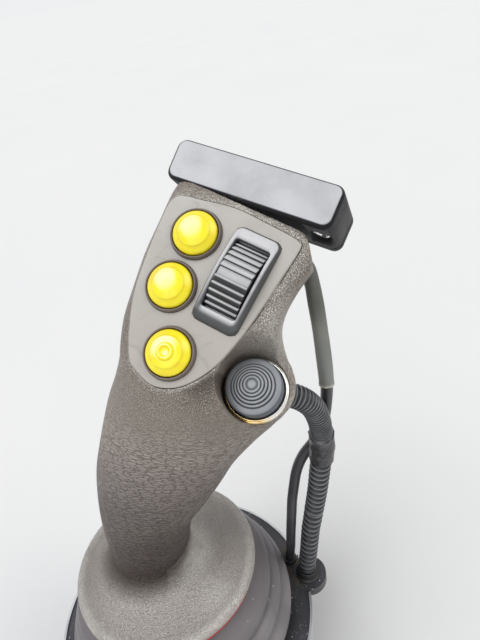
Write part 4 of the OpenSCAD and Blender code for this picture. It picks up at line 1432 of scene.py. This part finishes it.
def grow(obj, tree, values):
    """Runs the tree on an object with the values given by name, and keeps the plain mesh."""
    modifier = obj.modifiers.new(tree.name, "NODES")
    modifier.node_group = tree
    for item in tree.interface.items_tree:
        if item.in_out == "INPUT" and item.name in values:
            modifier[item.identifier] = values[item.name]
    mesh = merged_mesh(obj)
    obj.modifiers.clear()
    return mesh


def ridge_tree():
    tree, start, end = node_group("roller_ridges", [
        ("Ridges", "Int"), ("Pitch", "Float"), ("First", "Float"), ("Ridge", "Object"),
        ("Finish", "Material")])
    add, link = tree.nodes.new, tree.links.new
    line = add("GeometryNodeMeshLine")
    link(start.outputs["Ridges"], line.inputs["Count"])
    line.inputs["Offset"].default_value = (0, 0, 0)
    index = add("GeometryNodeInputIndex")
    angle = add("ShaderNodeMath")
    angle.operation = "MULTIPLY_ADD"
    link(index.outputs[0], angle.inputs[0])
    link(start.outputs["Pitch"], angle.inputs[1])
    link(start.outputs["First"], angle.inputs[2])
    turn_by = add("ShaderNodeCombineXYZ")
    link(angle.outputs[0], turn_by.inputs["X"])
    info = add("GeometryNodeObjectInfo")
    link(start.outputs["Ridge"], info.inputs["Object"])
    info.inputs["As Instance"].default_value = True
    place = add("GeometryNodeInstanceOnPoints")
    link(line.outputs["Mesh"], place.inputs["Points"])
    link(info.outputs["Geometry"], place.inputs["Instance"])
    link(turn_by.outputs[0], place.inputs["Rotation"])
    real = add("GeometryNodeRealizeInstances")
    link(place.outputs["Instances"], real.inputs["Geometry"])
    coat = add("GeometryNodeSetMaterial")
    link(real.outputs["Geometry"], coat.inputs["Geometry"])
    link(start.outputs["Finish"], coat.inputs["Material"])
    link(coat.outputs["Geometry"], end.inputs["Geometry"])
    return tree


ridges = ridge_tree()
print("nodes in the ridge tree:", len(ridges.nodes))

# %% [markdown]
# ### The roller's plastic
#
# The roller is dark plastic too. Its ridge tops carry a painted highlight, its grooves painted
# shade, and what faces the sky a painted sheen. The mesh will say how high a point lies on its ridge
# and whether it is in the ridged part at all, so that the smooth band keeps clean of the first two.


# %% The roller's finish
def roller_finish():
    """Dark plastic with a painted sheen where it faces the sky, painted highlights on the ridge tops and
    painted shade between the ridges.
    """
    finish = Finish("roller_dark", tone(46, 47, 50), 0.36)
    finish.bump(finish.noise(2200, 2), 0.02)
    # Painted sheen on the faces that look towards the sky.
    pale_patches = finish.times(finish.ramp(finish.facing((0, 0.2, 1)), 0.1, 0.8),
                        finish.cloud(90, 5, 0.3, 0.6, 0.8, 1))
    body = finish.blend(pale_patches, tone(44, 45, 47), tone(212, 213, 215))
    # Painted highlight on the ridge tops.
    top = finish.ramp(finish.attribute("crest"), 0.8, 1.0, 0, 0.7)
    # Painted shade in the grooves, less where the sheen lies.
    groove = finish.times(finish.ramp(finish.attribute("crest"), 0.0, 0.22, 0.5, 0),
                          finish.ramp(pale_patches, 0.0, 1.0, 1, 0.35))
    in_ridges = finish.attribute("ridged")
    body = finish.blend(finish.times(groove, in_ridges), body, tone(18, 18, 20))
    finish.colour(finish.blend(finish.times(top, in_ridges), body, tone(186, 187, 189)))
    finish.gloss(200, 4, 0.28, 0.4)
    return finish.material


roller_dark = roller_finish()
report(roller_dark)

# %% The drum and its teeth
DRUM_R = 15.5
DRUM_OUT = 3.6 + 1.3 - DRUM_R
DRUM_W = 12
# A ridge is a saw tooth at the top of the drum, with its steep face at 0. Columns: outwards, height.
SAW_TOOTH = [(0, -0.5), (0.02, 0.55), (0.14, 0.8), (0.34, 0.9), (0.62, 0.82), (1.15, 0.5),
             (1.7, 0.16), (2.1, -0.1), (2.1, -0.5)]
RIDGE_HEIGHT = max(height for _, height in SAW_TOOTH)
RIDGES_A_SIDE = 6
# The pitch and the smooth band's width are angles round the drum, in degrees.
RIDGE_PITCH = 8.8
SMOOTH_BAND = 11
TOOTH_END = 0.25


def saw_tooth(name, side):
    """A tooth across the drum, a little lower at its two ends."""
    half = DRUM_W / 2
    rings = []
    for x, shrink in ((-half, 0.8), (-half + TOOTH_END, 1), (half - TOOTH_END, 1), (half, 0.8)):
        rings.append([(x, side * y, DRUM_R + z * (shrink if z > 0 else 1)) for y, z in SAW_TOOTH])
    return lofted(name, rings, roller_dark)


holder = piece("ridge_holder", bpy.data.meshes.new("ridge_holder"), roller_dark)
teeth = [saw_tooth("tooth_down", -1), saw_tooth("tooth_up", 1)]
groups = []
for tooth, way in zip(teeth, (1, -1)):
    groups.append(grow(holder, ridges, {
        "Ridges": RIDGES_A_SIDE, "Pitch": math.radians(way * RIDGE_PITCH),
        "First": math.radians(way * SMOOTH_BAND / 2), "Ridge": tooth, "Finish": roller_dark}))
drum_profile = rounded_path([(0, -DRUM_W / 2, 0), (DRUM_R, -DRUM_W / 2, 0.5),
                             (DRUM_R, DRUM_W / 2, 0.5), (0, DRUM_W / 2, 0)], 5)
drum = turned("drum", drum_profile, roller_dark, Matrix.Rotation(math.pi / 2, 4, "Y"), 128, closed=False)
shape = bmesh.new()
shape.from_mesh(drum.data)
for mesh in groups:
    shape.from_mesh(mesh)
crest = shape.verts.layers.float.new("crest")
ridged = shape.verts.layers.float.new("ridged")
for v in shape.verts:
    radius = math.hypot(v.co.y, v.co.z) / MM
    from_top = abs(math.degrees(math.atan2(v.co.y, v.co.z)))
    v[crest] = max(0.0, min(1.0, (radius - DRUM_R) / RIDGE_HEIGHT))
    v[ridged] = 1.0 if from_top > SMOOTH_BAND / 2 - 0.5 else 0.0
bmesh.ops.transform(shape, matrix=at_face(0, 0, DRUM_OUT), verts=shape.verts)
for face in shape.faces:
    face.smooth = True
shape.to_mesh(drum.data)
shape.free()
for obj in teeth + [holder]:
    bpy.data.objects.remove(obj)
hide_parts("thumb_roller")
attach(drum, "roller")
print("roller faces:", len(drum.data.polygons))

# %% [markdown]
# ## The side knob
#
# The knob is black rubber, stepped in rings up to a small flat middle, and sits in a worn metal
# ring. The rings could be a bump in the finish, but they catch the light and show in outline, so
# they are real. A loop writes the profile's steps, which keeps them even.

# %% The knob
KNOB_R = 10.1
STEPS = 5
FIRST_STEP = 7.5
LAST_STEP = 1.9
step_edges = np.linspace(FIRST_STEP, LAST_STEP, STEPS + 1).tolist()
knob_corners = [(0, -13.5, 0), (KNOB_R, -13.5, 0.3), (KNOB_R, -4.0, 0.8), (KNOB_R - 0.9, -3.35, 0.5),
                (FIRST_STEP + 0.5, -3.2, 0.3), (FIRST_STEP + 0.15, -3.5, 0.25)]
for k, (outer, inner) in enumerate(zip(step_edges, step_edges[1:])):
    high = -3.5 + 3.2 * math.sin(math.pi / 2 * (k + 1) / (STEPS + 0.6))
    knob_corners += [(outer - 0.1, high - 0.05, 0.3), (outer - 0.45, high + 0.12, 0.3),
                     (inner + 0.3, high + 0.1, 0.3), (inner + 0.05, high - 0.3, 0.25)]
knob_corners += [(1.55, -0.25, 0.2), (1.3, 0, 0.3), (0, 0, 0)]
knob = turned("knob", rounded_path(knob_corners, 4), knob_rubber, at_knob(), 96, closed=False)
at_cap = local_points(knob.data, at_knob())
radius = np.hypot(at_cap[:, 0], at_cap[:, 1])
on_top = at_cap[:, 2] > -4.2
crests = [hill(radius - edge + 0.4, 0.3) for edge in step_edges[:-1]] + [hill(radius, 1.5)]
# Painted shade where each ring steps down; the knob's finish reads it.
grooves = [hill(radius - edge - 0.12, 0.2) for edge in step_edges[:-1] + [1.7]]
paint(knob.data, "crest", np.max(crests, axis=0) * on_top)
paint(knob.data, "groove", np.max(grooves, axis=0) * on_top)
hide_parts("knob_cap")
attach(knob, "knob")
print("knob faces:", len(knob.data.polygons))

# %% The knob's ring
ring_corners = [(10.3, -15.5, 0), (10.3, -9, 0.3), (10.65, -8.5, 0.3), (11.15, -8.6, 0.2),
                (11.25, -9.1, 0.1), (11.5, -9.1, 0.15), (11.85, -9.5, 0.3), (11.9, -15.5, 0)]
knob_ring = turned("knob_ring_skin", rounded_path(ring_corners, 4), knob_brass, at_knob())
at_ring = local_points(knob_ring.data, at_knob())
paint(knob_ring.data, "brassy", step(-0.5 * at_ring[:, 0] - at_ring[:, 1], -1, 7))
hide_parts("knob_ring")
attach(knob_ring, "lever")
print("ring faces:", len(knob_ring.data.polygons))

# %% [markdown]
# ## The switch box
#
# The box lies across the top end of the head. It is two moulded halves with a seam, and a screw
# holds them from below. A bevelled cube would have the same roundness everywhere. Each half is a
# stack of rounded rectangles, and the loops near an end are smaller, so its outer edge is rounder
# than its edge at the seam.

# %% The box's two halves
BOX_W, BOX_H, BOX_D, BOX_COVER = 64, 15.4, 29.5, 5
BOX_TURN = (Matrix.Rotation(math.radians(3.6), 4, "Z") @ Matrix.Rotation(math.radians(-5.1), 4, "Y")
            @ Matrix.Rotation(math.radians(5.3), 4, "X"))
at_box = at_face(-12.4, 32.5, 1) @ BOX_TURN


def box_half(name, low, high, round_low, round_high, finish):
    rings = []
    for t in np.linspace(0, 1, 6):
        shrink = round_low * (1 - math.sin(math.pi / 2 * t))
        rings.append((shrink, low + round_low * (1 - math.cos(math.pi / 2 * t))))
    for t in np.linspace(0, 1, 6):
        shrink = round_high * (1 - math.cos(math.pi / 2 * t))
        rings.append((shrink, high - round_high * (1 - math.sin(math.pi / 2 * t))))
    stack = []
    for shrink, height in rings:
        loop = rounded_rectangle(BOX_W - 2 * shrink, BOX_H - 2 * shrink, 3.5 - 0.6 * shrink)
        stack.append([(x, y, height) for x, y in loop])
    return lofted(name, stack, finish, at_box)


# The seam's half width, and the roundness of the edge at the seam and of the outer edge.
SEAM, EDGE_AT_SEAM, OUTER_EDGE = 0.15, 0.3, 1.6
seam_at = -BOX_D + BOX_COVER
box_front = box_half("box_front", seam_at + SEAM, 0, EDGE_AT_SEAM, OUTER_EDGE, box_charcoal)
box_back = box_half("box_back", -BOX_D, seam_at - SEAM, OUTER_EDGE, EDGE_AT_SEAM, box_charcoal)
SCREW_AT = Vector((27, 1.6 - BOX_H / 2, -10.7))
screw_place = at_box @ Matrix.Translation(SCREW_AT * MM) @ Matrix.Rotation(math.pi / 2, 4, "X")
cut(box_front, [turned("screw_recess", [(0, 0), (3.7, 0), (3.9, 2.6), (0, 2.6)], box_charcoal,
                       screw_place, 48, closed=False)])
print("box halves:", len(box_front.data.polygons), len(box_back.data.polygons))

# %% The box's screw
SOCKET_R = 1.45
screw_profile = rounded_path([(0, 0.35, 0), (1.75, 0.35, 0.1), (1.9, 0.95, 0.15), (2.6, 1.15, 0.3),
                              (3.3, 0.8, 0.4), (3.3, 0, 0), (0, 0, 0)], 4)
screw = turned("box_screw_skin", screw_profile, bright_metal, screw_place, 48, closed=False)
screw_core = prism("box_screw_core", circle_loop(0, 0, SOCKET_R, 6), 0.1, 0.7, knob_brass, screw_place)
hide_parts("box_screw")
for obj in (screw, screw_core):
    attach(obj, "lever")
for obj, node in ((box_front, "switch_box"), (box_back, "box_cover")):
    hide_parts(node)
    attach(obj, "lever")
print("screw faces:", len(screw.data.polygons) + len(screw_core.data.polygons))

# %% [markdown]
# ## Bellows
#
# The bellows is a rubber skin in three folds that keeps dirt out of the gimbal. Its profile is a
# loop of rounded corners, one set for each fold, turned about the upright axis. It crosses both
# joints of the gimbal, and one piece can blend between two bodies only. It crosses both joints of
# the gimbal, so it is made in two lengths, a lower one for the fore-and-aft joint and an upper one
# for the left-and-right joint. They meet at the height of the ring between the joints. Here both
# are only set in place.

# %% Two lengths of bellows
FOLD_H = 10.4
FOLD_STEP = 4.2
FOOT_Z = 9.5
BELLOWS_R = 58
WALL = 1.9
SEAM_Z = FOOT_Z + 4 + 2 * FOLD_H - 0.05 * FOLD_H


def fold(k):
    r = BELLOWS_R - FOLD_STEP * k
    z = FOOT_Z + 4 + FOLD_H * k
    return [(r - 1.6, z, 0.8), (r, z + 2, 1.8), (r, z + FOLD_H * 0.55, 2),
            (r - 1.4, z + FOLD_H * 0.78, 1.2), (r - 3.4, z + FOLD_H * 0.9, 0.7)]


def bellows_skin(name, corners):
    outside = rounded_path(corners, 5)
    inside = outside - np.array([WALL, 0])
    profile = np.concatenate([outside, inside[::-1]])
    skin = turned(name, profile, bellows_rubber, None, 120)
    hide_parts(name.replace("_skin", ""))
    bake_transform(skin)
    return skin


seam_corner = (BELLOWS_R - FOLD_STEP - 3.4 - 0.6, SEAM_Z, 0)
lower_corners = [(50, FOOT_Z, 0)] + fold(0) + fold(1)[:-1] + [seam_corner]
upper_corners = [seam_corner] + fold(2) + [(38, 50.3, 0)]
bellows_skin("bellows_lower_skin", lower_corners)
bellows_skin("bellows_upper_skin", upper_corners)
print("bellows seam at", round(SEAM_Z, 2))

# %% [markdown]
# ## Cords
#
# The conduit is a corrugated hose. Rings could be set along a plain tube one by one, but at a bend
# they would cross. Geometry Nodes sample the route finely, let the radius rise and fall along its
# length, and sweep a circle. The ribs' pitch and height are inputs, because the two lengths of
# conduit differ in both. With a rib height of zero the same tree makes the plain lead.


# %% The corrugated hose tree
def hose_tree():
    tree, start, end = node_group("corrugated_hose", [
        ("Radius", "Float"), ("Rib height", "Float"), ("Rib pitch", "Float"), ("Finish", "Material")])
    add, link = tree.nodes.new, tree.links.new

    def calc(operation, a, b):
        node = add("ShaderNodeMath")
        node.operation = operation
        for socket, value in zip(node.inputs, (a, b)):
            if isinstance(value, bpy.types.NodeSocket):
                link(value, socket)
            else:
                socket.default_value = value
        return node.outputs[0]

    sample = add("GeometryNodeResampleCurve")
    sample.mode = "LENGTH"
    link(start.outputs["Geometry"], sample.inputs["Curve"])
    link(calc("DIVIDE", start.outputs["Rib pitch"], 8.0), sample.inputs["Length"])
    along = add("GeometryNodeSplineParameter")
    phase = calc("MULTIPLY", calc("DIVIDE", along.outputs["Length"], start.outputs["Rib pitch"]),
                 2 * math.pi)
    wave = calc("MULTIPLY", calc("ADD", calc("SINE", phase, 0.0), 1.0), 0.5)
    rib = calc("MULTIPLY", calc("POWER", wave, 0.6), start.outputs["Rib height"])
    radius = calc("ADD", calc("SUBTRACT", start.outputs["Radius"], start.outputs["Rib height"]), rib)
    crest = add("GeometryNodeStoreNamedAttribute")
    crest.data_type = "FLOAT"
    crest.domain = "POINT"
    crest.inputs["Name"].default_value = "crest"
    link(sample.outputs["Curve"], crest.inputs["Geometry"])
    link(wave, crest.inputs["Value"])
    thick = add("GeometryNodeSetCurveRadius")
    link(crest.outputs["Geometry"], thick.inputs["Curve"])
    link(radius, thick.inputs["Radius"])
    circle = add("GeometryNodeCurvePrimitiveCircle")
    circle.inputs["Resolution"].default_value = 28
    circle.inputs["Radius"].default_value = 1.0
    sweep = add("GeometryNodeCurveToMesh")
    link(thick.outputs["Curve"], sweep.inputs["Curve"])
    link(circle.outputs["Curve"], sweep.inputs["Profile Curve"])
    if "Scale" in sweep.inputs:
        spread = add("GeometryNodeInputRadius")
        link(spread.outputs[0], sweep.inputs["Scale"])
    sweep.inputs["Fill Caps"].default_value = True
    smooth = add("GeometryNodeSetShadeSmooth")
    link(sweep.outputs["Mesh"], smooth.inputs["Geometry"])
    real = add("GeometryNodeRealizeInstances")
    link(smooth.outputs["Geometry"], real.inputs["Geometry"])
    coat = add("GeometryNodeSetMaterial")
    link(real.outputs["Geometry"], coat.inputs["Geometry"])
    link(start.outputs["Finish"], coat.inputs["Material"])
    link(coat.outputs["Geometry"], end.inputs["Geometry"])
    return tree


hose = hose_tree()
print("nodes in the hose tree:", len(hose.nodes))

# %% [markdown]
# ### Lengths of hose and lead
#
# Each length of a cord is a curve through the points of its route, and the tree makes it solid. The
# upper hose has fine ribs and the lower one coarse ones, and the tape hides where they meet. Near
# the plate the hose is drawn out a little, so its ribs stand further apart.


# %% The conduit's lengths and the lead
def route_curve(name, path):
    curve = bpy.data.curves.new(name, "CURVE")
    curve.dimensions = "3D"
    spline = curve.splines.new("POLY")
    spline.points.add(len(path) - 1)
    for point, (x, y, z) in zip(spline.points, path):
        point.co = (x, y, z, 1)
    obj = bpy.data.objects.new(name + "_route", curve)
    bpy.context.scene.collection.objects.link(obj)
    return obj


def swept(name, tree, values, finish, path=None):
    route = route_curve(name, paths[name] if path is None else path)
    mesh = grow(route, tree, dict(values, Finish=finish))
    bpy.data.objects.remove(route)
    return piece(name + "_skin", mesh, finish)


HOSE_R = 4.75
LEAD_R = 2.5
UPPER_HOSE = {"Radius": HOSE_R * MM, "Rib height": 0.6 * MM, "Rib pitch": 1.55 * MM}
LOWER_HOSE = {"Radius": HOSE_R * MM, "Rib height": 1.15 * MM, "Rib pitch": 3.7 * MM}
FOOT_HOSE = {"Radius": HOSE_R * MM, "Rib height": 1.15 * MM, "Rib pitch": 4.3 * MM}
LEAD = {"Radius": LEAD_R * MM, "Rib height": 0.0, "Rib pitch": 3 * MM}
# The two makes of hose meet under the middle of the tape.
half = len(paths["tape_wrap"]) // 2
upper_path = np.concatenate([paths["conduit_upper"], paths["tape_wrap"][1:half + 1]])
mid_path = np.concatenate([paths["tape_wrap"][half:], paths["conduit_mid"][1:]])
cords = {
    "conduit_upper": swept("conduit_upper", hose, UPPER_HOSE, conduit_plastic, upper_path),
    "conduit_mid": swept("conduit_mid", hose, LOWER_HOSE, conduit_plastic, mid_path),
    "conduit_lower": swept("conduit_lower", hose, FOOT_HOSE, conduit_plastic),
}
for name in ("lead_upper", "lead_mid", "lead_lower"):
    cords[name] = swept(name, hose, LEAD, lead_black)
print({name: len(obj.data.polygons) for name, obj in cords.items()})

# %% [markdown]
# ### Tape and sleeve
#
# Tape is wound round the joint in overlapping turns, so its radius steps up where the next turn
# begins, and its first edge is torn. The sleeve is a plain tube with a wavy wall and a frayed lower
# end. A hose tree can't know turns or tears. So both are swept ring by ring, and a function of the
# way along and the angle gives each radius.


# %% Wound tape and sleeve
TAPE_AROUND = 40
TAPE_TURNS = 3.4
TAPE_R = 5.0
SLEEVE_AROUND = 28
SLEEVE_R = 3.05


def swept_rings(path, radius_at, count):
    """Rings round a path. radius_at(t, angle) gives the radius in millimetres."""
    rings = []
    for i, point in enumerate(path):
        along = path[min(i + 1, len(path) - 1)] - path[max(i - 1, 0)]
        along = along / np.linalg.norm(along)
        side = np.cross([0, 1, 0], along)
        side = side / np.linalg.norm(side)
        other = np.cross(along, side)
        t = i / (len(path) - 1)
        ring = []
        for k in range(count):
            angle = 2 * math.pi * k / count
            r = radius_at(t, angle)
            ring.append(point / MM + r * (side * math.cos(angle) + other * math.sin(angle)))
        rings.append(ring)
    return rings


def tape_turn(t, angle):
    """How far round its own turn a point of the tape lies, from 0 at the edge to 1."""
    crooked = 0.06 * math.sin(7 * angle) + 0.04 * math.sin(13 * angle)
    turns = TAPE_TURNS * t + angle / (2 * math.pi) + crooked
    return turns - math.floor(turns)


def tape_radius(t, angle):
    crease = 0.14 * math.sin(5 * angle + 9 * t) + 0.1 * math.sin(11 * angle - 17 * t)
    torn = 0.35 * max(0, 1 - t / 0.12) * max(0, math.sin(9 * angle) * math.sin(4 * angle + 1))
    layer = 0.3 * min(1, tape_turn(t, angle) * 6)
    return TAPE_R + layer + torn + crease * (0.4 + 0.6 * math.sin(math.pi * t))


def sleeve_radius(t, angle):
    wave = 0.08 * math.sin(3 * angle + 8 * t) + 0.06 * math.sin(2 * angle - 21 * t)
    frayed = max(0, (t - 0.95) / 0.05)
    return SLEEVE_R + wave + frayed * (0.2 + 0.18 * math.sin(13 * angle) * math.sin(5 * angle + 2))


def along_and_round(mesh, around):
    """How far along its path each vertex of a swept skin lies, from 0 to 1, and at which angle."""
    index = np.arange(len(mesh.vertices))
    return index // around / (len(index) // around - 1), 2 * math.pi * (index % around) / around


tape_rings = swept_rings(smooth_path(ROUTES["tape_wrap"], 24), tape_radius, TAPE_AROUND)
tape = lofted("tape_wrap_skin", tape_rings, tape_black)
along, angles = along_and_round(tape.data, TAPE_AROUND)
turn_edge = np.array([hill(tape_turn(t, angle), 0.12) for t, angle in zip(along, angles)])
paint(tape.data, "frayed", np.maximum(0.6 * turn_edge, hill(along - 0.04, 0.1)))
sleeve_rings = swept_rings(smooth_path(ROUTES["lead_sleeve"], 12), sleeve_radius, SLEEVE_AROUND)
sleeve = lofted("lead_sleeve_skin", sleeve_rings, sleeve_grey)
along, _ = along_and_round(sleeve.data, SLEEVE_AROUND)
paint(sleeve.data, "frayed", step(along, 0.965, 0.99))
cords["tape_wrap"] = tape
cords["lead_sleeve"] = sleeve
print("tape and sleeve:", len(tape.data.polygons), len(sleeve.data.polygons))

# %% [markdown]
# ### Which body each cord follows
#
# The cords hang from the moving grip to the fixed plate. What is on the grip rides on the lever.
# For each length below, the table gives the two bodies between which it hangs, the lever and the ring
# between the joints, or that ring and the base, and the points where it meets them; here those
# lengths are only set in place. Neighbouring lengths share the seam's point. The two makes of hose
# under the tape are joined into one piece.

# %% The cords' table
SLEEVE_OUTER_R = 3.1
CONDUIT_FOOT = (65.7, 22.6, 12)
LEAD_FOOT = (55.6, 30, 10)
conduit_top = joined("conduit_top", [cords.pop("conduit_upper"), cords.pop("conduit_mid")])
for face in conduit_top.data.polygons:
    face.use_smooth = True
top_path = np.concatenate([paths["conduit_upper"], paths["tape_wrap"][1:], paths["conduit_mid"][1:]])
# Columns: piece, nodes it replaces, finish slot, radius, path, bend (low body, high body, start, end).
CORD_TABLE = [
    (conduit_top, ["conduit_upper", "conduit_mid"], "conduit_plastic", HOSE_R, top_path,
     ("cardan", "lever", CONDUIT_SEAM, TAPE_FOOT)),
    (cords["conduit_lower"], ["conduit_lower"], "conduit_plastic", HOSE_R, paths["conduit_lower"],
     ("base", "cardan", CONDUIT_FOOT, CONDUIT_SEAM)),
    (cords["lead_sleeve"], ["lead_sleeve"], "sleeve_grey", SLEEVE_OUTER_R, paths["lead_sleeve"], None),
    (cords["lead_upper"], ["lead_upper"], "lead_rubber", LEAD_R, paths["lead_upper"], None),
    (cords["lead_mid"], ["lead_mid"], "lead_rubber", LEAD_R, paths["lead_mid"],
     ("cardan", "lever", LEAD_SEAM, LEAD_BEND)),
    (cords["lead_lower"], ["lead_lower"], "lead_rubber", LEAD_R, paths["lead_lower"],
     ("base", "cardan", LEAD_FOOT, LEAD_SEAM)),
]


for obj, replaced, slot_name, radius, path, bend in CORD_TABLE:
    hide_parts(*replaced)
    if bend:
        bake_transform(obj)
    else:
        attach(obj, "lever")
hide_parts("tape_wrap")
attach(cords["tape_wrap"], "lever")
print("cords:", len(CORD_TABLE))

# %% [markdown]
# ## The plate, its edge and the gimbal
#
# The round plate, its bright edge, the housing and the gimbal are machined or stamped, so the solids
# are right as they are. A new skin would add nothing. They keep their meshes and get a finish.

# %% Finishes on the solids that stay
KEPT = {
    "mount_plate": plate_black, "panel_studs": zinc_steel, "gimbal_housing": housing_black,
    "housing_cover": housing_black, "cover_screws": zinc_steel, "bellows_clamp": plate_black,
    "lead_grommet": gland_rubber, "cardan_ring": gimbal_alloy, "lever_shaft": zinc_steel,
    "edge_trim": trim_metal,
}
for node, finish in KEPT.items():
    mesh = nodes[node].data
    mesh.materials.clear()
    mesh.materials.append(finish)
print("kept solids:", len(KEPT))

# %% [markdown]
# ### The gland's boot and the red seal
#
# The hose goes into the plate through a small rubber boot with a foot and a narrow neck. A thin red
# line shows under the palm rest: the edge of a seal. Both are rings, so both are turned, at the
# places and heights that the frame gives for their solids. The boot has a shelf inside its neck,
# so that no light shows between hose and boot.

# %% The boot and the seal
gland_low, gland_high = [np.array(corner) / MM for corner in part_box("conduit_gland")]
gland_foot = Vector(((gland_low[0] + gland_high[0]) / 2, (gland_low[1] + gland_high[1]) / 2,
                     gland_low[2]))
gland_at = Matrix.Translation(gland_foot * MM)
top = gland_high[2] - gland_low[2]
boot = turned("gland_boot", rounded_path([
    (3.2, 0, 0), (6.3, 0, 0.1), (6.3, top - 4.9, 0.1), (6.8, top - 4.8, 0.2), (6.7, top - 4.3, 0.3),
    (5.7, top - 3.6, 0.6), (5.2, top - 0.6, 0.4), (4.9, top, 0.2), (4.5, top, 0.1), (4.45, top - 0.7, 0),
    (3.2, top - 0.7, 0)], 4), gland_rubber, gland_at, 48)
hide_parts("conduit_gland")
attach(boot, "base")
SEAL_R = 43.3
seal_low, seal_high = [np.array(corner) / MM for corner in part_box("palm_seal")]
seal_foot, seal_top = seal_low[2] + 0.05, seal_high[2] - 0.05
seal = turned("red_seal", rounded_path([
    (40, seal_foot, 0), (SEAL_R, seal_foot, 0.5), (SEAL_R, seal_top, 0.4), (40, seal_top, 0)], 4),
    seal_red, None, 120)
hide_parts("palm_seal")
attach(seal, "lever")
print("gland's foot:", [round(c, 1) for c in gland_foot])
print("seal's height:", round(seal_top - seal_foot, 2))

# %% [markdown]
# ## Floor and light
#
# A pale floor lies under the lowest screw and runs far out, so that no edge of it shows. Most of
# the light comes from above, broad and soft, as it does through a cab's windows, so surfaces that
# face the sky are lighter than upright ones. Two weaker lights, from the right and from the front,
# show the shape. Suns are used instead of lamps, because their light is the same wherever the lever
# moves. The world shines weakly, and looks pale only to the camera and in reflections.

# %% The floor
floor_z = cad_box[0][2]
REACH = 40.0
floor_corners = [(x * REACH, y * REACH, floor_z) for x, y in ((-1, -1), (1, -1), (1, 1), (-1, 1))]
floor_mesh = bpy.data.meshes.new("floor")
floor_mesh.from_pydata(floor_corners, [], [(0, 1, 2, 3)])
floor_finish = Finish("floor_pale", (0.86, 0.86, 0.86), 0.9)
floor_finish.shader.inputs["Specular IOR Level"].default_value = 0.0
floor_finish.colour(floor_finish.blend(floor_finish.noise(3, 3), (0.84, 0.845, 0.85),
                                       (0.88, 0.88, 0.88)))
floor = piece("floor", floor_mesh, floor_finish.material)
print("floor at", round(floor_z, 4))


# %% Suns and sky
def soft_sun(name, from_side, strength, spread, colour=(1, 1, 1)):
    """A broad distant light. Spread is the angle of sky that it fills, in degrees."""
    light = bpy.data.lights.new(name, "SUN")
    light.energy = strength
    light.angle = math.radians(spread)
    light.color = colour
    obj = bpy.data.objects.new(name, light)
    bpy.context.scene.collection.objects.link(obj)
    obj.rotation_euler = Vector(from_side).to_track_quat("Z", "Y").to_euler()
    return obj


soft_sun("sky_left", (-0.4, -0.3, 1), 1.45, 45)
soft_sun("window_right", (0.9, 0.0, 0.75), 0.85, 40, (1, 0.97, 0.92))
soft_sun("window_front", (-0.2, -1, 0.55), 0.45, 40)
world = bpy.data.worlds.new("pale_sky")
world.use_nodes = True
sky = world.node_tree
lit = sky.nodes["Background"]
lit.inputs["Color"].default_value = (0.95, 0.97, 1, 1)
lit.inputs["Strength"].default_value = 0.38
seen = sky.nodes.new("ShaderNodeBackground")
seen.inputs["Color"].default_value = (0.86, 0.87, 0.88, 1)
seen.inputs["Strength"].default_value = 1.0
rays = sky.nodes.new("ShaderNodeLightPath")
straight = rays.outputs["Is Camera Ray"]
for kind in ("Is Glossy Ray", "Is Transmission Ray"):
    either = sky.nodes.new("ShaderNodeMath")
    either.operation = "MAXIMUM"
    sky.links.new(straight, either.inputs[0])
    sky.links.new(rays.outputs[kind], either.inputs[1])
    straight = either.outputs[0]
choice = sky.nodes.new("ShaderNodeMixShader")
sky.links.new(straight, choice.inputs[0])
sky.links.new(lit.outputs[0], choice.inputs[1])
sky.links.new(seen.outputs[0], choice.inputs[2])
sky.links.new(choice.outputs[0], sky.nodes["World Output"].inputs["Surface"])
bpy.context.scene.world = world
bpy.context.scene.view_settings.view_transform = "Standard"

# %% [markdown]
# ## Measuring
#
# The box round the imported solids is printed. The skins may not grow past the solids.

# %% The end
print("cad box", [[round(x, 4) for x in c] for c in cad_box])
